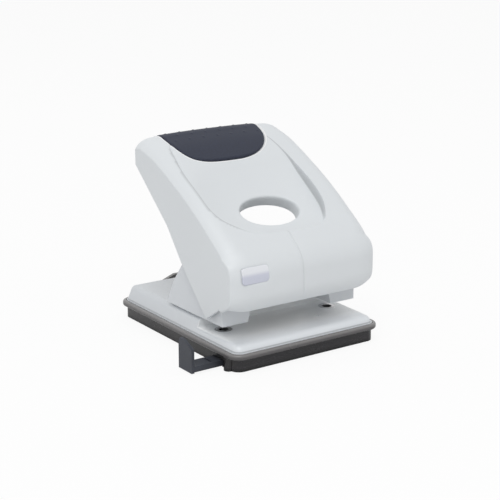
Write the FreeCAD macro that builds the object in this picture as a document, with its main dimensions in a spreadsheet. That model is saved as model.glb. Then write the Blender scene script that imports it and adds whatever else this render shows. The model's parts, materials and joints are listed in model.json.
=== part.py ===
import FreeCAD, Part
import math
import os
import Sketcher
from FreeCAD import Placement, Rotation, Vector

# A manual two-hole desk punch.
# X runs along the front edge where the paper goes in, Y runs to the back, Z is up.
# The origin is under the middle of the chip tray, on the table.

DIMENSIONS = {
    # pressed-steel base plate
    "plateSide": 13.2,
    "plateHalfDepth": 67.1,
    "throatDepth": 45.6,
    "plateGauge": 1.2,
    "plateBottom": 11.0,
    "plateCornerRadius": 6.0,
    "flangeWidth": 0.7,
    "slopeAngle": 20.0,
    "deckLow": 16.5,
    "deckHigh": 22.0,
    "deckEdgeRadius": 1.5,
    "notchHalfWidth": 25.0,
    "notchDepth": 5.6,
    "markOffset": 23.0,
    "markFront": 21.6,
    "markRadius": 1.4,
    "markDepth": 0.5,
    # chip tray
    "trayBottom": 0.5,
    "trayInsetSide": 0.1,
    "trayInsetEnd": 0.5,
    "trayWall": 1.8,
    "trayFloor": 1.5,
    "rimOverhang": 2.9,
    "rimHeight": 3.6,
    "rimTop": 12.0,
    "rimRound": 1.3,
    "tabHalfWidth": 24.0,
    "tabTop": 21.5,
    "tabShoulder": 17.0,
    "tabThickness": 2.6,
    "tabOverhang": 1.5,
    "partitionInset": 20.6,
    "partitionHeight": 7.0,
    "columnRadius": 3.0,
    "columnInset": 8.0,
    # anti-slip pads
    "padRadius": 4.4,
    "padThickness": 1.3,
    "padInset": 8.8,
    "padFrontInset": 6.6,
    "padRearInset": 10.0,
    # paper guide
    "guideReach": 22.1,
    "guideStopThickness": 2.0,
    "guideStopHeight": 20.0,
    "guideStopFrontHeight": 15.6,
    "guideStopDepth": 14.4,
    "guideStopRound": 2.5,
    "guideInset": 14.2,
    "guideArmWidth": 10.4,
    "guideArmTop": 4.9,
    "guideArmInset": 19.1,
    "guideLift": 0.2,
    "keelInset": 1.4,
    "lipHeight": 1.0,
    "guideNotchPitch": 12.0,
    "guideNotchWidth": 1.2,
    "guideNotchDepth": 0.6,
    "guideNotchInset": 2.0,
    "channelInset": 3.1,
    "channelWall": 1.5,
    # punching
    "pinSpacing": 80.0,
    "pinRadius": 3.0,
    "edgeDistance": 12.0,
    "throatHeight": 7.0,
    "pinTip": 23.8,
    "pinHeadRadius": 4.2,
    "pinHeadThickness": 2.6,
    "saddleDepth": 1.2,
    "dieRadius": 5.5,
    "dieFlange": 1.2,
    "dieDepth": 3.2,
    # punch heads
    "headHalfWidth": 10.3,
    "earThickness": 2.0,
    "footSet": 0.2,
    "footTop": 38.0,
    "footLean": 1.8,
    "footLeanHeight": 8.0,
    "webThickness": 2.0,
    "innerWallTop": 40.0,
    "innerWallReach": 9.5,
    "innerHub": 7.5,
    "guideBlockTop": 32.0,
    "guideBlockGap": 0.7,
    "floorTop": 24.4,
    "floorReach": 34.5,
    "earReach": 36.9,
    "earWaistReach": 28.5,
    "earWaistHeight": 39.4,
    "earKinkReach": 17.5,
    "earKinkRise": 2.2,
    "earShoulderReach": 26.0,
    "earShoulderRise": 7.5,
    "earNoseRise": 3.0,
    "earNoseDrop": 4.0,
    "pivotBoss": 8.5,
    # pivot and lever
    "pivotSetback": 26.5,
    "pivotHeight": 51.0,
    "shaftRadius": 3.0,
    "armGap": 1.3,
    "armThickness": 2.0,
    "armHub": 8.0,
    "armElbowReach": 34.0,
    "armElbowRise": 10.0,
    "armTailReach": 9.0,
    "armTailDepth": 14.0,
    "barHub": 9.0,
    "barReach": 15.0,
    "barAngle": 20.0,
    "barRadius": 4.0,
    "tenonRadius": 2.5,
    "leverDepth": 8.6,
    "leverGauge": 2.0,
    "lowBridgeEnd": 9.0,
    "highBridgeStart": 20.0,
    "leverClear": 15.0,
    # springs, washers and rings
    "springWire": 1.0,
    "springMean": 3.9,
    "springTurns": 4.5,
    "washerThickness": 0.6,
    "washerRadius": 5.2,
    "ringThickness": 0.7,
    "ringRadius": 5.2,
    "barRingRadius": 4.2,
    # handle cover
    "cheekGap": 0.5,
    "coverWall": 2.6,
    "cheekWall": 2.2,
    "coverEdgeRadius": 6.5,
    "lipDrop": 19.5,
    "lipReach": 1.0,
    "chinWeb": 12.0,
    "chinSlant": 5.0,
    "rearRim": 3.0,
    "rearMargin": 4.0,
    "noseRadius": 19.0,
    "chinRadius": 17.0,
    "brow": 10.0,
    "bendUpper": 110.0,
    "bendMiddle": 250.0,
    "bendLower": 100.0,
    "chinReach": 17.0,
    "chinDrop": 18.2,
    "noseRun": 31.4,
    "lowerRun": 16.144,
    "lowerSlope": 41.987,
    "middleRun": 38.479,
    "middleSlope": 35.054,
    "upperRun": 52.687,
    "upperSlope": 27.342,
    "crownRun": 28.115,
    "crownSlope": 21.272,
    "tailInset": 0.8,
    "tailDrop": 20.0,
    "heelReach": 12.5,
    "heelDrop": 24.7,
    "hockReach": 17.5,
    "hockDrop": 19.5,
    "kinkReach": 39.7,
    "kinkRise": 3.7,
    "backReach": 56.0,
    "backRise": 24.0,
    "seatHalf": 4.0,
    "screwPlace": 30.0,
    "thumbHoleHalfWidth": 21.0,
    "thumbHoleHalfHeight": 13.2,
    "thumbHoleAhead": 4.6,
    "thumbHoleDown": 12.8,
    "thumbHoleSlope": 29.0,
    "dishBehind": 2.5,
    "dishDown": 1.35,
    "dishSlope": 31.0,
    "dishCurve": 222.0,
    "dishSweep": 28.0,
    "dishHalfLength": 36.2,
    "dishDepth": 6.2,
    "dishHalfWidth": 42.0,
    "dishHalfPlan": 31.0,
    "collarWall": 2.0,
    "collarDepth": 6.0,
    "dishWall": 2.4,
    # grip pad, badge
    "gripHalfWidth": 35.5,
    "gripDepth": 38.7,
    "gripInset": 4.0,
    "gripInlay": 1.3,
    "gripProud": 0.5,
    "gripBedDepth": 3.0,
    "badgeInset": 5.5,
    "badgeWidth": 19.5,
    "badgeRise": 2.0,
    "badgeHeight": 10.6,
    "badgeInlay": 0.6,
    "badgeProud": 0.2,
    "badgeCorner": 2.0,
    # fasteners and brace
    "rivetRadius": 2.0,
    "rivetHeadRadius": 3.6,
    "rivetHeadHeight": 1.4,
    "rivetSetback": 9.5,
    "rivetPitch": 19.0,
    "braceSetback": 3.5,
    "braceDepth": 10.0,
    "braceHeight": 9.0,
    "braceGauge": 1.5,
    "screwRadius": 1.6,
    "screwHeadRadius": 3.2,
    "screwHeadHeight": 1.8,
    # named clearances
    "fitClearance": 0.05,
    "looseClearance": 0.3,
    "contactClearance": 0.06,
    "cutMargin": 1.0,
    "edgeBreak": 0.5,
}


class Size:
    """A length with the expression that drives it in the document."""

    def __init__(self, value, text):
        self.value = float(value)
        self.text = text

    def joined(self, other, sign, value):
        return Size(value, "(" + self.text + " " + sign + " " + other.text + ")")

    def __add__(self, other):
        other = sized(other)
        return self.joined(other, "+", self.value + other.value)

    def __sub__(self, other):
        other = sized(other)
        return self.joined(other, "-", self.value - other.value)

    def __mul__(self, other):
        other = sized(other)
        return self.joined(other, "*", self.value * other.value)

    def __truediv__(self, other):
        other = sized(other)
        return self.joined(other, "/", self.value / other.value)

    def __radd__(self, other):
        return sized(other) + self

    def __rsub__(self, other):
        return sized(other) - self

    def __rmul__(self, other):
        return sized(other) * self

    def __neg__(self):
        return sized(0) - self


def sized(value):
    if isinstance(value, Size):
        return value
    return Size(value, "(" + format(value, ".6f") + ")")


def cosine(angle):
    return Size(math.cos(math.radians(angle.value)), "cos(" + angle.text + " * 1 deg)")


def sine(angle):
    return Size(math.sin(math.radians(angle.value)), "sin(" + angle.text + " * 1 deg)")


def tangent(angle):
    return Size(math.tan(math.radians(angle.value)), "tan(" + angle.text + " * 1 deg)")


class SizeTable:
    """Every driving dimension, as a Size, under its own name."""

    def __init__(self, document, values):
        sheet = document.addObject("Spreadsheet::Sheet", "Sizes")
        for row, (name, value) in enumerate(values.items(), start=1):
            sheet.set("A" + str(row), name)
            sheet.set("B" + str(row), str(value))
            sheet.setAlias("B" + str(row), name)
            setattr(self, name, Size(value, "Sizes." + name))


document = FreeCAD.newDocument("HolePunch")
d = SizeTable(document, DIMENSIONS)
document.recompute()
nodes = []


# ---- drawing and feature helpers

def new_body(label, keep=True):
    body = document.addObject("PartDesign::Body", "Body_" + label)
    body.Label = label
    if keep:
        nodes.append(body)
    return body


def new_sketch(body, plane, offset=0, base=(0, 0), tilt=None, turn=None):
    """A sketch on an origin plane, moved off it, shifted in it, and tilted about its x or turned in it."""
    sketch = body.newObject("Sketcher::SketchObject", body.Label + "_sketch")
    support = [item for item in body.Origin.OriginFeatures if item.Role == plane + "_Plane"]
    sketch.AttachmentSupport = [(support[0], "")]
    sketch.MapMode = "FlatFace"
    for axis, angle in ((Vector(1, 0, 0), tilt), (Vector(0, 0, 1), turn)):
        if angle is not None:
            sketch.AttachmentOffset = Placement(Vector(), Rotation(axis, angle.value))
            sketch.setExpression("AttachmentOffset.Rotation.Angle", angle.text)
    for axis, amount in zip("xyz", (base[0], base[1], offset)):
        amount = sized(amount)
        if amount.value:
            sketch.setExpression("AttachmentOffset.Base." + axis, amount.text)
    return sketch


def pin_point(sketch, geometry, position, x, y):
    for kind, amount in (("DistanceX", x), ("DistanceY", y)):
        amount = sized(amount)
        number = sketch.addConstraint(
            Sketcher.Constraint(kind, -1, 1, geometry, position, amount.value))
        sketch.setExpression("Constraints[" + str(number) + "]", amount.text)


def polygon(sketch, points):
    corners = [(sized(x), sized(y)) for x, y in points]
    ends = corners[1:] + corners[:1]
    first = sketch.GeometryCount
    for start, end in zip(corners, ends):
        sketch.addGeometry(Part.LineSegment(Vector(start[0].value, start[1].value, 0),
                                            Vector(end[0].value, end[1].value, 0)))
    count = len(corners)
    for index in range(count):
        following = first + (index + 1) % count
        sketch.addConstraint(Sketcher.Constraint("Coincident", first + index, 2, following, 1))
    for index, corner in enumerate(corners):
        pin_point(sketch, first + index, 1, corner[0], corner[1])
    return sketch


def rectangle(sketch, x0, x1, y0, y1):
    return polygon(sketch, [(x0, y0), (x1, y0), (x1, y1), (x0, y1)])


def circle(sketch, x, y, radius):
    x, y, radius = sized(x), sized(y), sized(radius)
    geometry = sketch.addGeometry(Part.Circle(Vector(x.value, y.value, 0), Vector(0, 0, 1), radius.value))
    pin_point(sketch, geometry, 3, x, y)
    number = sketch.addConstraint(Sketcher.Constraint("Radius", geometry, radius.value))
    sketch.setExpression("Constraints[" + str(number) + "]", radius.text)
    return sketch


def ellipse(sketch, half_width, half_height):
    """An ellipse about the sketch's origin, with its long axis along x."""
    wide, high = sized(half_width), sized(half_height)
    shape = sketch.addGeometry(Part.Ellipse(Vector(wide.value, 0, 0), Vector(0, high.value, 0), Vector()))
    sketch.exposeInternalGeometry(shape)
    pin_point(sketch, shape + 1, 1, wide, 0)
    pin_point(sketch, shape + 1, 2, -wide, 0)
    number = sketch.addConstraint(
        Sketcher.Constraint("Distance", shape + 2, 1, shape + 2, 2, 2 * high.value))
    sketch.setExpression("Constraints[" + str(number) + "]", (2 * high).text)
    return sketch


def extrude(kind, body, sketch, length, both=False, back=False, taper=None):
    feature = body.newObject("PartDesign::" + kind, body.Label + "_" + kind.lower())
    feature.Profile = sketch
    if both:
        feature.SideType = "Symmetric"
    feature.Reversed = back
    length = sized(length)
    feature.Length = length.value
    feature.setExpression("Length", length.text)
    if taper is not None:
        feature.TaperAngle = taper.value
        feature.setExpression("TaperAngle", taper.text)
    sketch.Visibility = False
    return settled(feature)


def pad(body, sketch, length, **how):
    return extrude("Pad", body, sketch, length, **how)


def pocket(body, sketch, length, **how):
    before = body.Shape.Volume
    feature = extrude("Pocket", body, sketch, length, **how)
    if body.Shape.Volume > before - 1e-6:
        raise ValueError("a pocket of " + body.Label + " cuts nothing")
    return feature


def block(body, x0, x1, y0, y1, z0, z1):
    sketch = rectangle(new_sketch(body, "XY", offset=z0), x0, x1, y0, y1)
    return pad(body, sketch, sized(z1) - z0)


def cut_block(body, x0, x1, y0, y1, z0, z1):
    sketch = rectangle(new_sketch(body, "XY", offset=z0), x0, x1, y0, y1)
    return pocket(body, sketch, sized(z1) - z0, back=True)


def rod_z(body, x, y, radius, z0, z1):
    sketch = circle(new_sketch(body, "XY", offset=z0), x, y, radius)
    return pad(body, sketch, sized(z1) - z0)


def bore_z(body, x, y, radius, z0, z1):
    sketch = circle(new_sketch(body, "XY", offset=z0), x, y, radius)
    return pocket(body, sketch, sized(z1) - z0, back=True)


def rod_x(body, y, z, radius, x0, x1):
    sketch = circle(new_sketch(body, "YZ", offset=x0), y, z, radius)
    return pad(body, sketch, sized(x1) - x0)


def bore_x(body, y, z, radius, x0, x1):
    sketch = circle(new_sketch(body, "YZ", offset=x0), y, z, radius)
    return pocket(body, sketch, sized(x1) - x0, back=True)


def side_plate(body, points, x0, x1):
    sketch = polygon(new_sketch(body, "YZ", offset=x0), points)
    return pad(body, sketch, sized(x1) - x0)


def edges_where(body, wanted):
    return ["Edge" + str(number) for number, edge in enumerate(body.Shape.Edges, start=1) if wanted(edge)]


def settled(feature):
    document.recompute()
    if "Invalid" in feature.State or "Error" in feature.State:
        raise ValueError(feature.Label + " did not build")
    return feature


def round_edges(body, radius, wanted, kind="Fillet"):
    names = edges_where(body, wanted)
    if not names:
        raise ValueError("no edge of " + body.Label + " to round")
    base = body.Tip
    feature = body.newObject("PartDesign::" + kind, body.Label + "_" + kind.lower())
    feature.Base = (base, names)
    measure = "Radius" if kind == "Fillet" else "Size"
    setattr(feature, measure, radius.value)
    feature.setExpression(measure, radius.text)
    return settled(feature)


def along(edge, axis):
    """True for a straight edge along the axis."""
    if edge.Curve.TypeId != "Part::GeomLine":
        return False
    return abs(abs(edge.tangentAt(edge.FirstParameter).dot(axis)) - 1) < 1e-6


def near(value, size, slack=0.01):
    return abs(value - sized(size).value) < slack


def x_edge_at(y, z):
    """Picks the edge along X through the point y, z."""
    def wanted(edge):
        middle = edge.CenterOfMass
        return along(edge, Vector(1, 0, 0)) and near(middle.y, y) and near(middle.z, z)
    return wanted


def offset_chain(points, amount):
    """The corners of an open chain moved to its left by an amount, as Sizes."""
    values = [(sized(x).value, sized(y).value) for x, y in points]
    moved = []
    for index, (x, y) in enumerate(points):
        normals = []
        for start, end in ((index - 1, index), (index, index + 1)):
            if start < 0 or end >= len(values):
                continue
            run = Vector(values[end][0] - values[start][0], values[end][1] - values[start][1], 0)
            run.normalize()
            normals.append(Vector(-run.y, run.x, 0))
        mean = sum(normals, Vector()) / len(normals)
        mean = mean / mean.dot(mean) if len(normals) > 1 else mean
        moved.append((x + amount * mean.x, y + amount * mean.y))
    return moved


def turned(label, profile, keep=True):
    """A part turned about its own Z axis, from its (radius, height) outline."""
    body = new_body(label, keep)
    sketch = polygon(new_sketch(body, "XZ"), profile)
    feature = body.newObject("PartDesign::Revolution", label + "_revolution")
    feature.Profile = sketch
    feature.ReferenceAxis = (sketch, ["V_Axis"])
    feature.Angle = 360
    sketch.Visibility = False
    document.recompute()
    return body


def place(thing, x, y, z, rotation=None):
    thing.Placement = Placement(Vector(), rotation or Rotation())
    for axis, amount in zip("xyz", (x, y, z)):
        amount = sized(amount)
        thing.setExpression(".Placement.Base." + axis, amount.text)
    return thing


def group(label, members):
    compound = document.addObject("Part::Compound", "Group_" + label)
    compound.Label = label
    compound.Links = members
    nodes.append(compound)
    return compound


# ---- places that several parts share

SIDES = (("left", -1), ("right", 1))
pin_x = d.pinSpacing / 2
plate_x = pin_x + d.plateSide
tray_x = plate_x - d.trayInsetSide
tray_y = d.plateHalfDepth - d.trayInsetEnd
guide_front = d.guideInset - tray_y
guide_rear = guide_front + d.guideArmWidth
backstop_y = d.throatDepth - d.plateHalfDepth
pin_y = backstop_y - d.edgeDistance
pivot_y = backstop_y - d.pivotSetback
rivet_rows = (backstop_y + d.rivetSetback, backstop_y + d.rivetSetback + d.rivetPitch)
foot_front = pivot_y + d.footSet
block_rear = backstop_y - d.guideBlockGap
inner_wall = pin_x - d.headHalfWidth
ear_outer = pin_x + d.headHalfWidth
ear_inner = ear_outer - d.earThickness
arm_outer = ear_inner - d.armGap
arm_inner = arm_outer - d.armThickness
cover_x = ear_outer + d.cheekGap + d.cheekWall
plate_top = d.plateBottom + d.plateGauge
foot_bottom = d.deckLow + d.throatHeight
bar_y = pivot_y + d.barReach * cosine(d.barAngle)
bar_z = d.pivotHeight + d.barReach * sine(d.barAngle)
pin_top = bar_z - d.barRadius - d.contactClearance
washer_top = d.guideBlockTop + d.washerThickness
tray_cavity_floor = d.trayBottom + d.trayFloor


def from_pivot(reach, rise):
    """A point of the handle, y and z, by its distance behind and above the pivot."""
    return (pivot_y + reach, d.pivotHeight + rise)


def onward(start, run, slope):
    """The point a run away from another, up a slope in degrees."""
    return (start[0] + run * cosine(slope), start[1] + run * sine(slope))


# The handle's side outline, from the rear top corner down the front to the chin and back up the rear.
chin = from_pivot(-d.chinReach, -d.chinDrop)
nose = (chin[0], chin[1] + d.noseRun)
lower = onward(nose, d.lowerRun, d.lowerSlope)
middle = onward(lower, d.middleRun, d.middleSlope)
upper = onward(middle, d.upperRun, d.upperSlope)
crown = onward(upper, d.crownRun, d.crownSlope)
HANDLE = {
    "crown": crown,
    "upper": upper,
    "middle": middle,
    "lower": lower,
    "nose": nose,
    "chin": chin,
    "heel": from_pivot(d.heelReach, -d.heelDrop),
    "hock": from_pivot(d.hockReach, -d.hockDrop),
    "kink": from_pivot(d.kinkReach, d.kinkRise),
    "back": from_pivot(d.backReach, d.backRise),
    "tail": (crown[0] - d.tailInset, crown[1] - d.tailDrop),
}
PANEL = ("crown", "upper", "middle", "lower", "nose", "chin")


# ---- base

def rounded_slab(body, half_x, y0, y1, z0, z1, radius, cut=False, taper=None):
    """A rectangle with rounded corners, padded or pocketed upwards."""
    sketch = new_sketch(body, "XY", offset=z0)
    half_x, y0, y1, radius = sized(half_x), sized(y0), sized(y1), sized(radius)
    arcs = []
    for sx, sy, y_edge in ((1, 1, y1), (-1, 1, y1), (-1, -1, y0), (1, -1, y0)):
        start = {(1, 1): 0, (-1, 1): 90, (-1, -1): 180, (1, -1): 270}[(sx, sy)]
        x = sx * (half_x - radius)
        y = y_edge - sy * radius
        arc = Part.ArcOfCircle(Part.Circle(Vector(x.value, y.value, 0), Vector(0, 0, 1), radius.value),
                               math.radians(start), math.radians(start + 90))
        number = sketch.addGeometry(arc)
        pin_point(sketch, number, 3, x, y)
        arcs.append(number)
    first = sketch.addConstraint(Sketcher.Constraint("Radius", arcs[0], radius.value))
    sketch.setExpression("Constraints[" + str(first) + "]", radius.text)
    for index in range(4):
        arc, following = arcs[index], arcs[(index + 1) % 4]
        start = sketch.Geometry[arc].EndPoint
        end = sketch.Geometry[following].StartPoint
        line = sketch.addGeometry(Part.LineSegment(start, end))
        sketch.addConstraint(Sketcher.Constraint("Tangent", arc, 2, line, 1))
        sketch.addConstraint(Sketcher.Constraint("Tangent", line, 2, following, 1))
    height = sized(z1) - z0
    if cut:
        return pocket(body, sketch, height, back=True, taper=taper)
    return pad(body, sketch, height, taper=taper)


def base_plate():
    body = new_body("base_plate")
    foot_x = plate_x - d.flangeWidth
    foot_y = d.plateHalfDepth - d.flangeWidth
    inner_x = foot_x - d.plateGauge
    inner_y = foot_y - d.plateGauge
    shrink = (d.deckLow - plate_top) * tangent(d.slopeAngle)
    rounded_slab(body, plate_x, -d.plateHalfDepth, d.plateHalfDepth,
                 d.plateBottom, plate_top, d.plateCornerRadius)
    rounded_slab(body, foot_x, -foot_y, foot_y, plate_top, d.deckHigh,
                 d.plateCornerRadius - d.flangeWidth, taper=-d.slopeAngle)
    # the low deck at the front, where the paper lies, ends in the upright backstop
    cut_block(body, -plate_x, plate_x, -d.plateHalfDepth, backstop_y,
              d.deckLow, d.deckHigh + d.cutMargin)
    # finger notch in the rear of the high deck
    notch_y = d.plateHalfDepth - d.notchDepth
    cut_block(body, -d.notchHalfWidth, d.notchHalfWidth, notch_y, d.plateHalfDepth + d.cutMargin,
              plate_top, d.deckHigh + d.cutMargin)

    def soft(edge):
        box = edge.BoundBox
        before = box.YMin < (backstop_y - d.cutMargin).value
        return near(box.ZMin, box.ZMax) and (
            near(box.ZMin, d.deckHigh) or (near(box.ZMin, d.deckLow) and before))
    round_edges(body, d.deckEdgeRadius, soft)
    # hollow underneath, one gauge inside the outer form
    rounded_slab(body, inner_x, -inner_y, inner_y, d.plateBottom, plate_top,
                 d.plateCornerRadius - d.flangeWidth - d.plateGauge, cut=True)
    rise = d.deckLow - d.plateGauge - plate_top
    rounded_slab(body, inner_x, -inner_y, inner_y, plate_top, plate_top + rise,
                 d.plateCornerRadius - d.flangeWidth - d.plateGauge, cut=True, taper=-d.slopeAngle)
    top_x = inner_x - shrink
    rear_y = notch_y - d.plateGauge
    cut_block(body, -top_x + 2 * d.plateGauge, top_x - 2 * d.plateGauge, backstop_y + d.plateGauge,
              rear_y, d.deckLow - d.plateGauge, d.deckHigh - d.plateGauge)
    for side, sign in SIDES:
        bore_z(body, sign * pin_x, pin_y, d.dieRadius + d.fitClearance,
               d.deckLow - 2 * d.plateGauge, d.deckLow + d.cutMargin)
        for y in rivet_rows:
            bore_z(body, sign * pin_x, y, d.rivetRadius + d.fitClearance,
                   d.deckHigh - 2 * d.plateGauge, d.deckHigh + d.cutMargin)
    bore_z(body, d.markOffset, d.markFront - d.plateHalfDepth, d.markRadius,
           d.deckLow - d.markDepth, d.deckLow + d.cutMargin)
    return body


def chip_tray():
    body = new_body("chip_tray")
    rim_bottom = d.rimTop - d.rimHeight
    rim_x = tray_x + d.rimOverhang
    rim_y = tray_y + d.rimOverhang
    inner_x = tray_x - d.trayWall
    inner_y = tray_y - d.trayWall
    seat_x = plate_x + d.looseClearance
    seat_y = d.plateHalfDepth + d.looseClearance
    ledge = d.plateBottom - d.contactClearance
    rounded_slab(body, tray_x, -tray_y, tray_y, d.trayBottom,
                 rim_bottom + d.cutMargin, d.plateCornerRadius)
    rounded_slab(body, rim_x, -rim_y, rim_y, rim_bottom, d.rimTop,
                 d.plateCornerRadius + d.rimOverhang)

    def rim_edges(edge):
        box = edge.BoundBox
        reach = max(abs(box.YMin), abs(box.YMax))
        wide = max(abs(box.XMin), abs(box.XMax))
        outside = reach > rim_y.value - 3 * d.rimOverhang.value or near(wide, rim_x)
        level = near(box.ZMin, box.ZMax) and (near(box.ZMin, rim_bottom) or near(box.ZMin, d.rimTop))
        return level and outside and (near(wide, rim_x) or near(reach, rim_y))
    round_edges(body, d.rimRound, rim_edges)
    # rear tab, pulled to open the tray
    sketch = new_sketch(body, "XZ", offset=-(rim_y + d.tabOverhang))
    polygon(sketch, [(-d.tabHalfWidth, rim_bottom + d.rimRound), (d.tabHalfWidth, rim_bottom + d.rimRound),
                     (d.tabHalfWidth, d.tabShoulder), (d.tabHalfWidth / 2, d.tabTop),
                     (-d.tabHalfWidth / 2, d.tabTop), (-d.tabHalfWidth, d.tabShoulder)])
    pad(body, sketch, d.tabThickness)
    # seat for the plate, and the chip space under it
    rounded_slab(body, seat_x, -seat_y, seat_y, ledge, d.rimTop + d.cutMargin,
                 d.plateCornerRadius, cut=True)
    rounded_slab(body, inner_x, -inner_y, inner_y, tray_cavity_floor, ledge,
                 d.plateCornerRadius - d.trayWall, cut=True)
    # low partition across the rear of the chip space
    partition_y = tray_y - d.partitionInset
    block(body, -inner_x, inner_x, partition_y, partition_y + d.trayWall, tray_cavity_floor,
          tray_cavity_floor + d.partitionHeight)
    # roofed channel for the guide's arm, open underneath between two lips
    slot_front = guide_front - d.looseClearance
    slot_rear = guide_rear + d.looseClearance
    roof = d.guideArmTop + d.looseClearance
    channel_end = tray_x - d.channelInset
    block(body, -inner_x, channel_end + d.channelWall, slot_front - d.channelWall,
          slot_rear + d.channelWall, d.trayBottom, roof + d.channelWall)
    cut_block(body, -(tray_x + d.cutMargin), channel_end, slot_front, slot_rear,
              d.trayBottom - d.cutMargin, roof)
    lip_reach = d.keelInset - d.looseClearance
    for y0, y1 in ((slot_front, slot_front + lip_reach), (slot_rear - lip_reach, slot_rear)):
        block(body, -tray_x, channel_end, y0, y1, d.trayBottom, d.trayBottom + d.lipHeight)
    # half-round column beside the guide's slot
    rod_z(body, -tray_x, d.columnInset - tray_y, d.columnRadius, d.trayBottom, rim_bottom + d.cutMargin)
    for x, y in pad_places():
        bore_z(body, x, y, d.padRadius + d.fitClearance, d.trayBottom - d.cutMargin,
               d.padThickness + d.fitClearance)
    return body


def pad_places():
    x = tray_x - d.padInset
    front = d.padFrontInset - tray_y
    rear = tray_y - d.padRearInset
    return [(sign * x, y) for _, sign in SIDES for y in (front, rear)]


def anti_slip_pads():
    members = []
    for index, (x, y) in enumerate(pad_places()):
        foot = turned("anti_slip_pad_" + str(index), [
            (0, 0), (d.padRadius - d.edgeBreak, 0), (d.padRadius, d.edgeBreak),
            (d.padRadius, d.padThickness), (0, d.padThickness)], keep=False)
        members.append(place(foot, x, y, 0))
    return group("anti_slip_pads", members)


def paper_guide():
    body = new_body("paper_guide")
    bottom = d.trayBottom + d.guideLift
    shelf = d.trayBottom + d.lipHeight + d.looseClearance
    outer = -(tray_x + d.guideReach)
    inner = outer + d.guideStopThickness
    stop_rear = guide_front + d.guideStopDepth
    arm_end = tray_x - d.guideArmInset
    side_plate(body, [(guide_front, bottom), (stop_rear, bottom),
                      (stop_rear, d.guideStopHeight - d.guideStopRound),
                      (stop_rear - 0.64 * d.guideStopRound, d.guideStopHeight),
                      (stop_rear - 2.2 * d.guideStopRound, d.guideStopHeight - 0.16 * d.guideStopRound),
                      (guide_front, d.guideStopFrontHeight)], outer, inner)
    block(body, inner - d.looseClearance, arm_end, guide_front, guide_rear, shelf, d.guideArmTop)
    block(body, inner - d.looseClearance, arm_end, guide_front + d.keelInset, guide_rear - d.keelInset,
          bottom, shelf + d.looseClearance)
    # notches across the arm mark the paper sizes
    for step in range(1, 7):
        x = inner + step * d.guideNotchPitch
        cut_block(body, x, x + d.guideNotchWidth, guide_front + d.guideNotchInset,
                  guide_rear - d.guideNotchInset, d.guideArmTop - d.guideNotchDepth,
                  d.guideArmTop + d.cutMargin)
    return body


# ---- punching gear

def punch_head(side, sign):
    body = new_body("punch_head_" + side)

    def plate(a, b, points):
        low = sign * (a if sign > 0 else b)
        high = sign * (b if sign > 0 else a)
        side_plate(body, points, low, high)

    def box(a, b, y0, y1, z0, z1):
        low = sign * (a if sign > 0 else b)
        high = sign * (b if sign > 0 else a)
        block(body, low, high, y0, y1, z0, z1)

    web_rear = foot_front + d.webThickness
    inner_face = inner_wall + d.webThickness
    ear_front = pivot_y - d.pivotBoss
    hub = d.innerHub
    # guide block that carries the pin, and the floor that is riveted to the high deck
    box(inner_wall, ear_outer, foot_front, block_rear, foot_bottom, d.guideBlockTop)
    box(inner_wall, ear_inner, backstop_y + d.edgeBreak, backstop_y + d.floorReach, d.deckHigh, d.floorTop)
    box(inner_wall, ear_outer, block_rear, backstop_y + d.rearRim, foot_bottom, d.guideBlockTop)
    plate(ear_inner, ear_outer, [
        (foot_front, foot_bottom), (backstop_y + d.earReach, foot_bottom),
        (backstop_y + d.earWaistReach, d.earWaistHeight),
        (backstop_y + d.earKinkReach, d.pivotHeight + d.earKinkRise),
        from_pivot(d.earShoulderReach, d.earShoulderRise), from_pivot(0, d.pivotBoss),
        (ear_front, d.pivotHeight + d.earNoseRise), (ear_front, d.pivotHeight - d.earNoseDrop),
        (foot_front, d.footTop)])
    plate(inner_wall, inner_face, [
        (foot_front, foot_bottom), (block_rear, foot_bottom), (block_rear, d.guideBlockTop + d.webThickness),
        (pivot_y + d.innerWallReach, d.innerWallTop), from_pivot(0.93 * hub, 0.27 * hub),
        from_pivot(0.4 * hub, hub), from_pivot(-0.4 * hub, hub), from_pivot(-0.93 * hub, 0.4 * hub),
        from_pivot(-0.93 * hub, -0.53 * hub), (foot_front, d.footTop)])
    box(inner_wall, ear_outer, foot_front, web_rear, foot_bottom, d.footTop)
    # the foot's inner corner leans in towards the paper
    outside = sign * (inner_wall - d.cutMargin)
    lean = sign * (inner_wall + d.footLean)
    sketch = new_sketch(body, "XZ", offset=-block_rear)
    polygon(sketch, [(outside, foot_bottom - d.cutMargin), (lean, foot_bottom - d.cutMargin),
                     (lean, foot_bottom + d.cutMargin), (sign * inner_wall, foot_bottom + d.footLeanHeight),
                     (outside, foot_bottom + d.footLeanHeight)])
    pocket(body, sketch, block_rear - foot_front + d.cutMargin, back=True)
    outer = sign * (ear_outer + d.cutMargin)
    inner = sign * (inner_wall - d.cutMargin)
    low, high = (inner, outer) if sign > 0 else (outer, inner)
    bore_x(body, pivot_y, d.pivotHeight, d.shaftRadius + d.fitClearance, low, high)
    bore_z(body, sign * pin_x, pin_y, d.pinRadius + d.fitClearance,
           foot_bottom - d.cutMargin, d.guideBlockTop + d.cutMargin)
    for y in rivet_rows:
        bore_z(body, sign * pin_x, y, d.rivetRadius + d.fitClearance,
               d.deckHigh - d.cutMargin, d.floorTop + d.cutMargin)
    return body


def head_rivets():
    under = d.deckHigh - d.plateGauge
    low = under - d.rivetHeadHeight
    crown = 0.6 * d.rivetHeadRadius
    members = []
    for side, sign in SIDES:
        for row, y in enumerate(rivet_rows):
            top = d.floorTop + d.braceGauge if row == 0 else d.floorTop
            rivet = turned("rivet_" + side + str(row), [
                (0, low), (crown, low), (d.rivetHeadRadius, under - d.edgeBreak),
                (d.rivetHeadRadius, under), (d.rivetRadius, under), (d.rivetRadius, top),
                (d.rivetHeadRadius, top), (d.rivetHeadRadius, top + d.edgeBreak),
                (crown, top + d.rivetHeadHeight), (0, top + d.rivetHeadHeight)], keep=False)
            members.append(place(rivet, sign * pin_x, y, 0))
    return group("head_rivets", members)


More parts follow.
